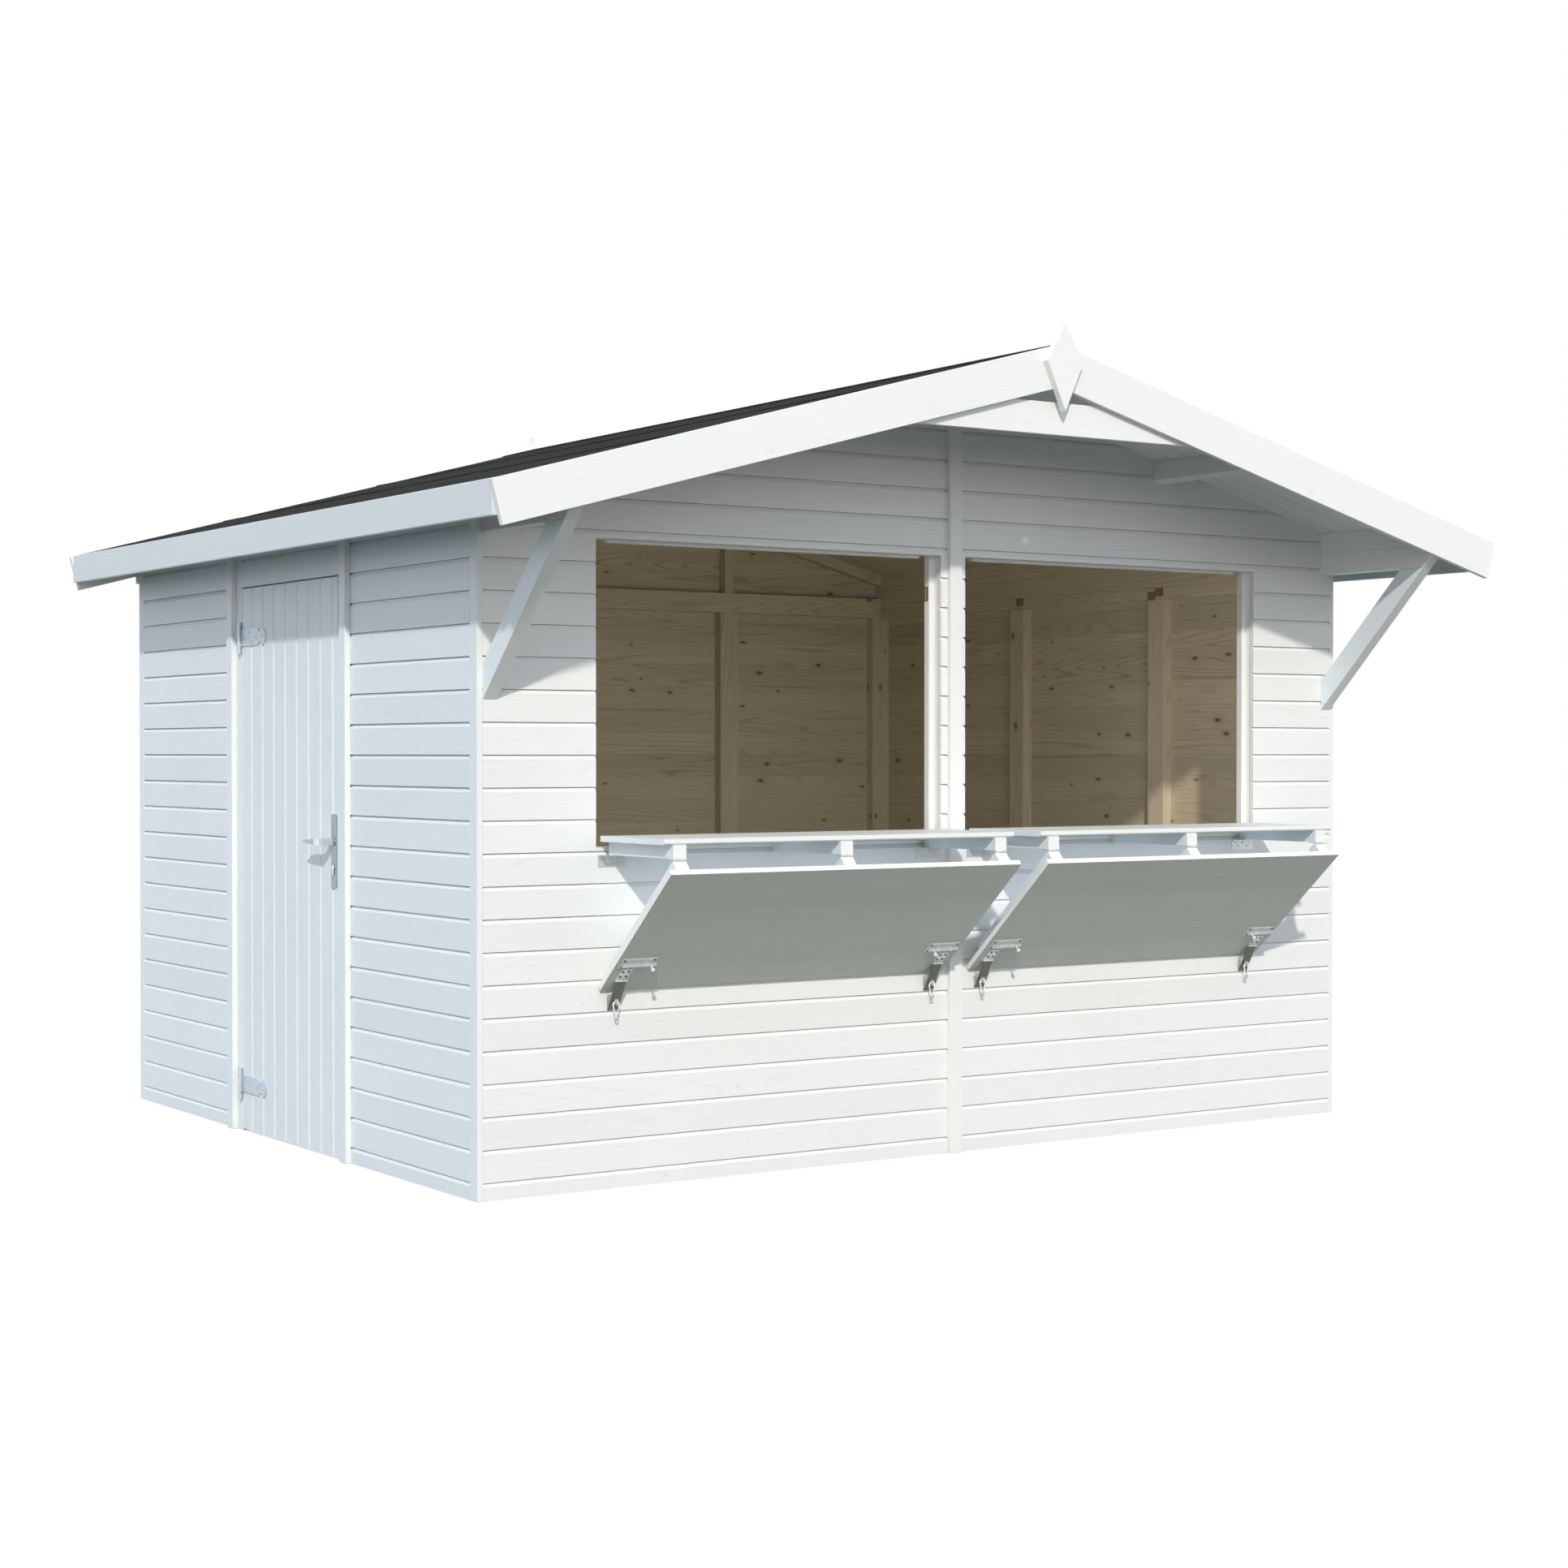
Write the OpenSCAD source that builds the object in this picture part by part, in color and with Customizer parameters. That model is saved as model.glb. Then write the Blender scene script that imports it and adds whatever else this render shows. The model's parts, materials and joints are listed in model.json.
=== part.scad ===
// Wooden market hut with a felted gable roof, two folding serving hatches and a side door.
// Millimetres, +Z up. The ridge runs along Y over x = 0, the serving front faces -Y,
// the door wall faces -X, and z = 0 is the ground.

/* [Walls] */
// Depth of the hut from front cladding to back cladding
wall_d = 2800; // [2600:10:3600]
// Thickness of the cladding boards
clad_t = 19; // [14:1:28]
// Depth of the studs and rails behind the cladding
stud_t = 45; // [34:1:70]
// Width of the studs and height of the rails
stud_w = 45; // [34:1:70]
// Width of a corner batten on the side wall
corner_w = 47; // [30:1:70]
// Height of the wide rail that ties the back wall's panels
back_rail_h = 85; // [50:1:120]

/* [Serving openings] */
// Width of one serving opening
opening_w = 1300; // [900:10:1600]
// Width of the front wall between an opening and the hut's corner
side_pier_w = 400; // [300:5:600]
// Height of the sill above the ground
opening_sill = 1034; // [900:1:1150]
// Width of the pier between the two openings
pier_w = 100; // [90:1:160]
// Width of the batten over the joint of the two front panels
joint_batten_w = 50; // [36:1:60]
// Thickness of the batten over the joint of the two front panels
joint_batten_t = 19; // [12:1:28]
// Distance that a hatch stop stands into the opening
stop_w = 21; // [12:1:30]
// Depth of a hatch stop, measured into the wall
stop_t = 26; // [16:1:34]
// Distance that a head stop stays clear of each end of its opening
stop_inset = 60; // [30:1:80]
// Height of a head stop
head_stop_h = 10; // [8:1:24]

/* [Roof] */
// Slope of the roof, in degrees
roof_pitch = 15; // [12:0.5:18]
// Distance that the bargeboards reach past the side walls
eave_over = 235; // [150:5:300]
// Distance from the front cladding to the face of the front bargeboards
front_over = 549; // [300:1:700]
// Distance from the back cladding to the face of the back bargeboards
back_over = 109; // [60:1:250]
// Thickness of the roof boards
roof_board_t = 19; // [15:1:25]
// Thickness of the roofing felt
felt_t = 3; // [2:0.5:5]
// Height of a bargeboard, square to the slope
barge_h = 130; // [100:1:150]
// Thickness of a bargeboard
barge_t = 20; // [15:1:28]
// Height of the eaves fascia
fascia_h = 100; // [80:1:120]
// Thickness of the eaves fascia
fascia_t = 20; // [15:1:28]
// Distance from the end of a bargeboard back to the fascia's face
fascia_setback = 10; // [5:1:20]
// Width of a purlin
purlin_w = 45; // [36:1:60]
// Height of a mid-slope purlin
purlin_h = 70; // [50:1:95]
// Distance of a mid-slope purlin from the ridge
purlin_x = 910; // [700:5:1050]
// Height of the ridge purlin
ridge_purlin_h = 95; // [70:1:120]
// Height of the plate that runs out over the braces
plate_h = 77; // [60:1:90]
// Height of an eaves purlin's inner face
eave_purlin_h = 74; // [60:1:90]
// Distance from the ridge down to the tie board's lower edge
tie_drop = 281; // [230:1:330]
// Height of the tie board from edge to edge
tie_h = 101; // [80:1:110]
// Thickness of the tie board
tie_t = 19; // [15:1:25]

/* [Finials and braces] */
// Width of a diamond finial
finial_w = 144; // [100:2:180]
// Height of a finial
finial_h = 276; // [200:2:300]
// Distance that a finial stands above the ridge
finial_rise = 63; // [30:1:80]
// Thickness of a finial
finial_t = 25; // [12:1:30]
// Distance from a brace's toe forward to the bargeboards
brace_setback = 37; // [20:1:80]
// Height of a brace's cut face on the wall
brace_cut = 107; // [70:1:130]

/* [Door] */
// Width of the door leaf
door_w = 800; // [700:1:900]
// Height of the door leaf
door_h = 1880; // [1750:1:2050]
// Distance of the door's middle in front of the wall's middle
door_shift = 20; // [0:1:80]
// Height of the rail over the door, up to the plate
door_rail_h = 73; // [60:1:120]
// Gap round the door leaf
door_gap = 5; // [5:0.5:8]
// Gap under the door leaf
door_foot_gap = 8; // [6:1:15]
// Width of a door post
door_post_w = 69; // [60:1:80]
// Width of the battens that cover the door posts' joints
door_batten_w = 48; // [40:1:60]
// Thickness of the battens that cover the door posts' joints
door_batten_t = 20; // [14:1:26]
// Width of a door stop
door_stop_w = 12; // [8:1:16]
// Height of a ledge on the door's inner face
ledge_h = 95; // [70:1:120]
// Thickness of a ledge on the door's inner face
ledge_t = 22; // [16:1:24]

/* [Door hinges and handle] */
// Length of a door hinge's barrel
barrel_len = 108; // [90:1:120]
// Diameter of a door hinge's barrel
barrel_d = 15; // [12:0.5:18]
// Diameter of a door hinge's pin
pin_d = 8; // [6:0.5:9]
// Length of a hinge strap from the barrel's axis
strap_len = 215; // [180:1:260]
// Height of a hinge strap
strap_h = 58; // [44:1:64]
// Thickness of a hinge strap
strap_t = 4; // [3:0.5:5]
// Distance from the foot of the leaf up to the lower hinge's middle
hinge_from_foot = 157; // [120:1:220]
// Distance from the top of the leaf down to the upper hinge's middle
hinge_from_top = 170; // [120:1:220]
// Width of the handle plate
handle_plate_w = 40; // [34:1:44]
// Height of the handle plate
handle_plate_h = 240; // [200:1:260]
// Height of the lever's axis above the ground
lever_z = 1030; // [1000:1:1060]
// Length of the lever from its axis
lever_len = 128; // [100:1:140]
// Diameter of the lever
lever_d = 20; // [14:1:22]
// Distance from the door's face to the lever's axis
lever_off = 52; // [40:1:60]

/* [Serving hatches] */
// Gap between a hatch and each side of its opening
hatch_gap = 5; // [3:1:10]
// Distance from the sill down to the underside of the counter's battens
counter_drop = 23; // [15:1:40]
// Thickness of the hatch boards
hatch_board_t = 18; // [15:1:22]
// Height of a hatch batten
hatch_batten_h = 40; // [30:1:45]
// Width of a hatch batten
hatch_batten_w = 45; // [36:1:55]
// Distance from the end of a hatch to its outer battens
hatch_batten_inset = 30; // [20:1:60]
// Number of boards in the counter
counter_boards = 4; // [3:1:4]
// Number of boards in the flap
flap_boards = 6; // [6:1:8]

/* [Hidden] */
$fn = 48;

// Paint, timber, felt and metal
paint_front = [0.95, 0.94, 0.92];
paint_side = [0.84, 0.87, 0.90];
paint_shade = [0.72, 0.76, 0.79];
bare_pine = [0.72, 0.60, 0.43];
felt_black = [0.18, 0.19, 0.18];
zinc = [0.72, 0.73, 0.74];

// Length that a cutting solid runs past the face it cuts
overrun = 20;
// Gap in which the roof boards bed on the walls, rafters and purlins
roof_seat = 0.2;
sides = [-1, 1];

// Planes of the walls
wall_w = 2 * (side_pier_w + opening_w) + pier_w;
roof_len = front_over + wall_d + back_over;
front_y = front_over - roof_len / 2;
back_y = front_y + wall_d;
half_w = wall_w / 2;
frame_half = half_w - clad_t;
inner_half = frame_half - stud_t;
barge_front_y = front_y - front_over;
barge_back_y = back_y + back_over;
roof_front_y = barge_front_y + barge_t;
roof_back_y = barge_back_y - barge_t;
front_frame_y = front_y + clad_t;
front_inner_y = front_frame_y + stud_t;
back_frame_y = back_y - clad_t;
back_inner_y = back_frame_y - stud_t;

// Heights of the door, the openings and the plates
door_head_z = door_foot_gap + door_h + door_gap;
opening_head = door_head_z + door_rail_h;
plate_top = opening_head + plate_h;

// Slope of the roof, which rises from the eaves purlins
roof_skin = (roof_board_t + felt_t) / cos(roof_pitch);
ridge_h = plate_top + eave_purlin_h + roof_seat + roof_skin + inner_half * tan(roof_pitch);
felt_rise = felt_t / cos(roof_pitch);
rafter_drop = roof_skin + roof_seat + stud_w / cos(roof_pitch);
purlin_front_y = roof_front_y + tie_t;
barge_x = half_w + eave_over;
fascia_x = barge_x - fascia_setback;
roof_edge_x = fascia_x - fascia_t;
function roof_top(x) = ridge_h - abs(x) * tan(roof_pitch);
function roof_under(x) = roof_top(x) - roof_skin - roof_seat;

// Share of a finial's height above its widest place
finial_waist_share = 0.44;

// Places of the serving openings
opening_in = pier_w / 2;
opening_out = opening_in + opening_w;
opening_mid = (opening_in + opening_out) / 2;
stop_front_y = front_inner_y - stop_t;

// Panel joints of the plain walls, as shares of the wall
side_joint_shares = [0.32, 0.63];
back_joint_shares = [-1 / 4, 0, 1 / 4];
side_joints = [for (share = side_joint_shares) front_y + share * wall_d];
pair_w = 2 * stud_w;
side_rail_z = opening_head - stud_w;
back_rail_z = opening_head + stud_w - back_rail_h;

// Door opening in the left wall
door_y0 = front_y + (wall_d - door_w) / 2 - door_shift;
door_y1 = door_y0 + door_w;
post_y0 = door_y0 - door_gap - door_post_w;
post_y1 = door_y1 + door_gap + door_post_w;
door_face_x = -half_w;

// Door hinges and ledges
hinge_low_z = door_foot_gap + hinge_from_foot;
hinge_high_z = door_foot_gap + door_h - hinge_from_top;
hinge_heights = [hinge_low_z, hinge_high_z];
ledge_clear = 22;
ledge_gap = 0.5;
pin_x = door_face_x - barrel_d / 2 - strap_t / 2;
pin_y = door_y1 + door_gap;
knuckle_h = (barrel_len - strap_h) / 2;
knuckle_gap = 0.5;
pin_clear = 0.05;
neck_d = 34;
neck_depth = 12;
hinge_plate_w = 26;
hinge_plate_t = 3;

// Handle
handle_y = door_y0 + handle_plate_w / 2 + door_gap;
handle_plate_t = 4;
handle_drop = 30;
boss_d = 26;
boss_t = 8;
spindle_d = 15;
spindle_seat = 1;
lever_tip_d = 9;
plate_corner = 9;
key_drop = 83;
key_d = 10;
key_slot_w = 4;
key_slot_h = 15;

// Boards of the hatches, which fill an opening when they are folded up; the flap's free edge
// is trimmed to clear the head
hatch_w = opening_w - 2 * hatch_gap;
hatch_board_w = (opening_head - opening_sill) / (counter_boards + flap_boards);
counter_d = counter_boards * hatch_board_w;
flap_trim = 7;
flap_len = flap_boards * hatch_board_w - flap_trim;

// Places of the hatches
counter_z = opening_sill - counter_drop;
hatch_back = 16;
hatch_reach = hatch_back + counter_d;
wall_gap = 1;
hinge_y = front_y - hatch_reach;
flap_turn = acos((hatch_reach - wall_gap) / norm([flap_len, hatch_batten_h]))
    - atan2(hatch_batten_h, flap_len);
batten_wall_gap = 16;
flap_batten_len = (hatch_reach - batten_wall_gap) / cos(flap_turn);
batten_spots = [
    -hatch_w / 2 + hatch_batten_inset,
    -hatch_batten_w / 2,
    hatch_w / 2 - hatch_batten_inset - hatch_batten_w
];
groove_w = 5;
groove_depth = 4;

// Hatch ironwork
wall_hinge_w = 98;
wall_hinge_h = 33;
leaf_t = 2;
wall_knuckle_d = 8;
leaf_reach = 40;
flap_knuckle_d = 6;
flap_leaf_len = 34;
hasp_from_end = 50;
hasp_w = 41;
hasp_plate_len = 53;
hasp_len = 104;
hasp_t = 2;
hasp_knuckle_d = 8;
hasp_from_edge = 52;
slot_w = 8;
slot_h = 26;
slot_from_end = 14;
staple_w = 40;
staple_h = 46;
staple_t = 2;
loop_t = 4;
loop_h = 18;
loop_reach = 32;
bolt_len = 118;
bolt_d = 12;
bolt_plate_w = 118;
bolt_plate_h = 42;
bolt_from_edge = 133;
bolt_shift = 25;
bolt_sink = 0.5;
guide_w = 10;
guide_wall = 1;
guide_spots = [-21, 27];
knob_d = 14;
knob_len = 28;
knob_from_end = 19;

// Line of a hasp's strap, from its knuckle on the flap to its tip near the wall
hasp_knuckle_s = flap_len - hasp_from_edge;
hasp_off = hatch_batten_h + hatch_board_t + hasp_knuckle_d / 2;
hasp_pivot = [
    hinge_y + hasp_knuckle_s * cos(flap_turn) - hasp_off * sin(flap_turn),
    counter_z - hasp_knuckle_s * sin(flap_turn) - hasp_off * cos(flap_turn)
];
hasp_tip_off = staple_t + hasp_t;
hasp_lean = asin((front_y - hasp_tip_off - hasp_pivot[0]) / hasp_len);
hasp_tip = [front_y - hasp_tip_off, hasp_pivot[1] - hasp_len * cos(hasp_lean)];

// A box between two corners
module block(low, high) {
    translate(low) cube(high - low);
}

// An outline in x and z, run along y
module along_y(y0, y1) {
    translate([0, y1, 0]) rotate([90, 0, 0]) linear_extrude(y1 - y0) children();
}

// An outline in y and z, run along x
module along_x(x0, x1) {
    translate([x0, 0, 0]) rotate([90, 0, 90]) linear_extrude(x1 - x0) children();
}

// A copy on each side of the ridge
module both_sides() {
    for (side = sides) mirror([side < 0 ? 1 : 0, 0, 0]) children();
}

// Everything below the roof boards, between two heights of wall
module under_roof_outline(half, low) {
    polygon([[-half, low], [half, low], [half, roof_under(half)], [0, roof_under(0)],
        [-half, roof_under(half)]]);
}

// A band of the roof's slope on the right, between two depths below the roof's top
module slope_band(x0, x1, top_drop, low_drop) {
    polygon([[x0, roof_top(x0) - top_drop], [x1, roof_top(x1) - top_drop],
        [x1, roof_top(x1) - low_drop], [x0, roof_top(x0) - low_drop]]);
}

module mid_purlin_outline() {
    translate([purlin_x, roof_under(purlin_x)]) rotate(-roof_pitch)
        translate([-purlin_w / 2, -purlin_h]) square([purlin_w, purlin_h]);
}

module ridge_purlin_outline() {
    under = roof_under(0);
    intersection() {
        translate([-purlin_w / 2, under - ridge_purlin_h]) square([purlin_w, ridge_purlin_h]);
        under_roof_outline(half_w, 0);
    }
}

// Notches for the purlins, open at the top
module purlin_notches() {
    translate([-purlin_w / 2, roof_under(0) - ridge_purlin_h])
        square([purlin_w, ridge_purlin_h + overrun]);
    both_sides() translate([purlin_x, roof_under(purlin_x)]) rotate(-roof_pitch)
        translate([-purlin_w / 2, -purlin_h]) square([purlin_w, purlin_h + overrun]);
}

// Cladding of one gable above the plates, cut round the purlins
module gable_outline() {
    difference() {
        intersection() {
            translate([-inner_half, opening_head])
                square([2 * inner_half, ridge_h - opening_head]);
            under_roof_outline(half_w, 0);
        }
        purlin_notches();
    }
}

// Front wall

module front_apron() {
    color(paint_front)
        block([-frame_half, front_y, 0], [frame_half, front_frame_y, opening_sill]);
}

module front_piers() {
    color(paint_front) {
        block([-opening_in, front_y, opening_sill], [opening_in, front_frame_y, opening_head]);
        both_sides()
            block([opening_out, front_y, opening_sill], [frame_half, front_frame_y, opening_head]);
    }
}

module front_gable() {
    color(paint_front) along_y(front_y, front_frame_y) gable_outline();
}

module front_posts() {
    color(bare_pine) {
        block([-opening_in, front_frame_y, 0], [opening_in, front_inner_y, opening_head]);
        both_sides() {
            block([opening_out, front_frame_y, 0],
                [opening_out + stud_w, front_inner_y, opening_head]);
            block([inner_half - stud_w, front_frame_y, 0],
                [inner_half, front_inner_y, opening_head]);
        }
    }
}

module front_rails() {
    color(bare_pine) {
        block([-inner_half, front_frame_y, opening_head],
            [inner_half, front_inner_y, opening_head + stud_w]);
        both_sides() {
            for (low = [0, opening_sill - stud_w])
                block([opening_in, front_frame_y, low],
                    [opening_out, front_inner_y, low + stud_w]);
            block([opening_out + stud_w, front_frame_y, 0],
                [inner_half - stud_w, front_inner_y, stud_w]);
        }
    }
}

module front_joint_batten() {
    color(paint_front)
        block([-joint_batten_w / 2, front_y - joint_batten_t, 0],
            [joint_batten_w / 2, front_y, roof_under(0) - ridge_purlin_h]);
}

// Stops inside the reveals that a closed hatch rests against
module hatch_stops() {
    color(paint_front) both_sides() {
        for (x = [opening_in, opening_out - stop_w])
            block([x, stop_front_y, opening_sill], [x + stop_w, front_inner_y, opening_head]);
        block([opening_in + stop_inset, stop_front_y, opening_head - head_stop_h],
            [opening_out - stop_inset, front_inner_y, opening_head]);
    }
}

// Back wall

module back_wall() {
    color(paint_front)
        block([-frame_half, back_frame_y, 0], [frame_half, back_y, opening_head]);
}

module back_gable() {
    color(paint_front) along_y(back_frame_y, back_y) gable_outline();
}

module back_posts() {
    color(bare_pine) {
        for (share = back_joint_shares)
            translate([share * wall_w, 0, 0])
                block([-pair_w / 2, back_inner_y, 0], [pair_w / 2, back_frame_y, back_rail_z]);
        both_sides()
            block([inner_half - stud_w, back_inner_y, 0],
                [inner_half, back_frame_y, back_rail_z]);
        both_sides() {
            x = back_joint_shares[2] * wall_w;
            along_y(back_inner_y, back_frame_y) difference() {
                intersection() {
                    translate([x - stud_w / 2, back_rail_z + back_rail_h])
                        square([stud_w, ridge_h - back_rail_z]);
                    translate([0, -rafter_drop - roof_seat])
                        polygon([[0, 0], [half_w, 0], [half_w, roof_top(half_w)], [0, ridge_h]]);
                }
                purlin_notches();
            }
        }
    }
}

module back_rails() {
    color(bare_pine) {
        block([-inner_half, back_inner_y, back_rail_z],
            [inner_half, back_frame_y, back_rail_z + back_rail_h]);
        both_sides() {
            joint = back_joint_shares[2] * wall_w;
            block([pair_w / 2, back_inner_y, 0], [joint - pair_w / 2, back_frame_y, stud_w]);
            block([joint + pair_w / 2, back_inner_y, 0],
                [inner_half - stud_w, back_frame_y, stud_w]);
        }
    }
}

// Side walls

// Cladding of a side wall between two places along y, from a height up to the roof
module side_cladding(y0, y1, low) {
    along_y(y0, y1)
        polygon([[frame_half, low], [half_w, low], [half_w, roof_under(half_w)],
            [frame_half, roof_under(frame_half)]]);
}

module right_wall() {
    color(paint_side) side_cladding(front_y + corner_w, back_y - corner_w, 0);
}

module left_wall_front() {
    color(paint_side) mirror([1, 0, 0]) side_cladding(front_y + corner_w, post_y0, 0);
}

module left_wall_back() {
    color(paint_side) mirror([1, 0, 0]) side_cladding(post_y1, back_y - corner_w, 0);
}

module left_wall_over_door() {
    color(paint_side) mirror([1, 0, 0])
        side_cladding(post_y0 + door_post_w, post_y1 - door_post_w, door_head_z);
}

// Studs of both side walls: corner studs, and pairs at the right wall's panel joints
module side_posts() {
    corners = [[front_frame_y, front_inner_y], [back_inner_y, back_frame_y]];
    pairs = [for (y = side_joints) [y - pair_w / 2, y + pair_w / 2]];
    color(bare_pine) {
        both_sides() for (span = corners)
            block([inner_half, span[0], 0], [frame_half, span[1], side_rail_z]);
        for (span = pairs)
            block([inner_half, span[0], 0], [frame_half, span[1], side_rail_z]);
    }
}

// Rails of both side walls, and the rail over the door
module side_rails() {
    right_feet = [
        [front_inner_y, side_joints[0] - pair_w / 2],
        [side_joints[0] + pair_w / 2, side_joints[1] - pair_w / 2],
        [side_joints[1] + pair_w / 2, back_inner_y]
    ];
    color(bare_pine) {
        block([inner_half, front_frame_y, side_rail_z], [frame_half, back_frame_y, opening_head]);
        for (span = right_feet)
            block([inner_half, span[0], 0], [frame_half, span[1], stud_w]);
        mirror([1, 0, 0]) {
            for (span = [[front_frame_y, post_y0], [post_y1, back_frame_y]])
                block([inner_half, span[0], side_rail_z], [frame_half, span[1], opening_head]);
            for (span = [[front_inner_y, post_y0], [post_y1, back_inner_y]])
                block([inner_half, span[0], 0], [frame_half, span[1], stud_w]);
            block([inner_half, post_y0 + door_post_w, door_head_z],
                [frame_half, post_y1 - door_post_w, opening_head]);
        }
    }
}

// Posts beside the door, each with the stop that the leaf closes against
module door_posts() {
    stop_x = half_w - clad_t - door_gap;
    color(paint_side) mirror([1, 0, 0]) {
        for (y = [post_y0, post_y1 - door_post_w]) {
            side_cladding(y, y + door_post_w, 0);
            block([inner_half, y, 0], [frame_half, y + door_post_w, opening_head]);
        }
        block([inner_half, post_y0 + door_post_w, 0],
            [stop_x, post_y0 + door_post_w + door_stop_w, door_head_z]);
        block([inner_half, post_y1 - door_post_w - door_stop_w, 0],
            [stop_x, post_y1 - door_post_w, door_head_z]);
    }
}

module door_battens() {
    color(paint_side) mirror([1, 0, 0]) for (y = [post_y0, post_y1])
        along_y(y - door_batten_w / 2, y + door_batten_w / 2)
            polygon([[half_w, 0], [half_w + door_batten_t, 0],
                [half_w + door_batten_t, roof_under(half_w + door_batten_t)],
                [half_w, roof_under(half_w)]]);
}

module corner_battens() {
    color(paint_side) both_sides() for (y = [front_y, back_y - corner_w])
        along_y(y, y + corner_w)
            polygon([[frame_half, 0], [half_w, 0], [half_w, roof_under(half_w)],
                [frame_half, roof_under(frame_half)]]);
}

// Roof

// Rafters along the inside of both gables, between the purlins
module gable_rafters() {
    color(bare_pine) for (y = [front_frame_y, back_inner_y])
        along_y(y, y + stud_t) both_sides() difference() {
            slope_band(0, inner_half, roof_skin + roof_seat, rafter_drop);
            purlin_notches();
        }
}

// Plates whose front ends are cut along the line of the braces
module wall_plates() {
    color(paint_shade) both_sides() along_x(inner_half, frame_half)
        polygon([[roof_front_y + brace_setback, opening_head], [roof_back_y, opening_head],
            [roof_back_y, plate_top], [roof_front_y, plate_top],
            [roof_front_y, opening_head + brace_setback]]);
}

module eave_purlins() {
    color(paint_shade) both_sides() along_y(roof_front_y, roof_back_y)
        polygon([[inner_half, plate_top], [frame_half, plate_top],
            [frame_half, roof_under(frame_half)], [inner_half, roof_under(inner_half)]]);
}

module mid_purlins() {
    color(paint_shade) both_sides() along_y(purlin_front_y, roof_back_y) mid_purlin_outline();
}

module ridge_purlin() {
    color(paint_shade) along_y(purlin_front_y, roof_back_y) ridge_purlin_outline();
}

module roof_boards() {
    color(paint_shade) along_y(roof_front_y, roof_back_y)
        slope_band(0, roof_edge_x, felt_rise, roof_skin);
}

module roof_felt() {
    color(felt_black) along_y(roof_front_y, roof_back_y)
        slope_band(0, roof_edge_x, 0, felt_rise);
}

module roof_boards_left() { mirror([1, 0, 0]) roof_boards(); }
module roof_boards_right() { roof_boards(); }
module roof_felt_left() { mirror([1, 0, 0]) roof_felt(); }
module roof_felt_right() { roof_felt(); }

// One bargeboard: plumb at the ridge, cut square to the slope at the eaves
module bargeboard_outline() {
    end = [barge_x, roof_top(barge_x)];
    polygon([[0, ridge_h], end, end - barge_h * [sin(roof_pitch), cos(roof_pitch)],
        [0, ridge_h - barge_h / cos(roof_pitch)]]);
}

// The front and back bargeboards of the right slope
module bargeboards() {
    color(paint_front) {
        along_y(barge_front_y, roof_front_y) bargeboard_outline();
        along_y(roof_back_y, barge_back_y) bargeboard_outline();
    }
}

module bargeboards_left() { mirror([1, 0, 0]) bargeboards(); }
module bargeboards_right() { bargeboards(); }

module eaves_fascias() {
    low = roof_top(fascia_x) - fascia_h;
    color(paint_shade) both_sides() along_y(roof_front_y, roof_back_y)
        polygon([[roof_edge_x, low], [fascia_x, low], [fascia_x, roof_top(fascia_x)],
            [roof_edge_x, roof_top(roof_edge_x)]]);
}

// Tie board whose ends run up behind the bargeboards at half their height
module front_tie_board() {
    end_drop = barge_h / 2 / cos(roof_pitch);
    low_half = (tie_drop - end_drop) / tan(roof_pitch);
    top_half = (tie_drop - tie_h - end_drop) / tan(roof_pitch);
    low = ridge_h - tie_drop;
    color(paint_front) along_y(roof_front_y, purlin_front_y)
        polygon([[-low_half, low], [low_half, low], [top_half, low + tie_h],
            [-top_half, low + tie_h]]);
}

// Diamond that is widest above the middle of its height
module finial() {
    top = ridge_h + finial_rise;
    waist = top - finial_waist_share * finial_h;
    along_y(-finial_t, 0)
        polygon([[0, top], [finial_w / 2, waist], [0, top - finial_h], [-finial_w / 2, waist]]);
}

module finials() {
    color(paint_front) {
        translate([0, barge_front_y, 0]) finial();
        translate([0, barge_back_y, 0]) mirror([0, 1, 0]) finial();
    }
}

module braces() {
    reach = front_over - barge_t - brace_setback;
    foot_z = opening_head - reach;
    color(paint_front) both_sides() along_x(inner_half, frame_half)
        polygon([[front_y, foot_z], [front_y, foot_z + brace_cut],
            [front_y - reach + brace_cut, opening_head], [front_y - reach, opening_head]]);
}

// Serving hatches

// Copies at the middle of both serving openings
module each_hatch() {
    for (side = sides) translate([side * opening_mid, 0, 0]) children();
}

// Outline of boards edge to edge, with a groove at every joint on the face that bears the battens
module board_outline(len, boards) {
    difference() {
        square([len, hatch_board_t]);
        for (i = [1:boards - 1])
            translate([i * hatch_board_w - groove_w / 2, -groove_depth])
                square([groove_w, 2 * groove_depth]);
    }
}

// The flap's own plane: x runs down the slope, y square to it and inwards
module on_flap() {
    translate([hinge_y, counter_z]) rotate(-flap_turn) children();
}

// A solid in the flap's own frame, with z square to the flap's outer face and outwards
module on_flap_face() {
    translate([0, hinge_y, counter_z]) rotate([-flap_turn, 0, 0])
        translate([0, 0, -hatch_batten_h - hatch_board_t]) mirror([0, 0, 1]) children();
}

module hatch_counters() {
    color(paint_front) each_hatch() along_x(-hatch_w / 2, hatch_w / 2)
        translate([hinge_y, counter_z + hatch_batten_h]) board_outline(counter_d, counter_boards);
}

module hatch_counter_battens() {
    color(paint_front) each_hatch() for (x = batten_spots)
        block([x, hinge_y, counter_z],
            [x + hatch_batten_w, hinge_y + counter_d, counter_z + hatch_batten_h]);
}

module hatch_flaps() {
    color(paint_shade) each_hatch() along_x(-hatch_w / 2, hatch_w / 2)
        on_flap() translate([0, -hatch_batten_h]) mirror([0, 1])
            board_outline(flap_len, flap_boards);
}

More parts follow.
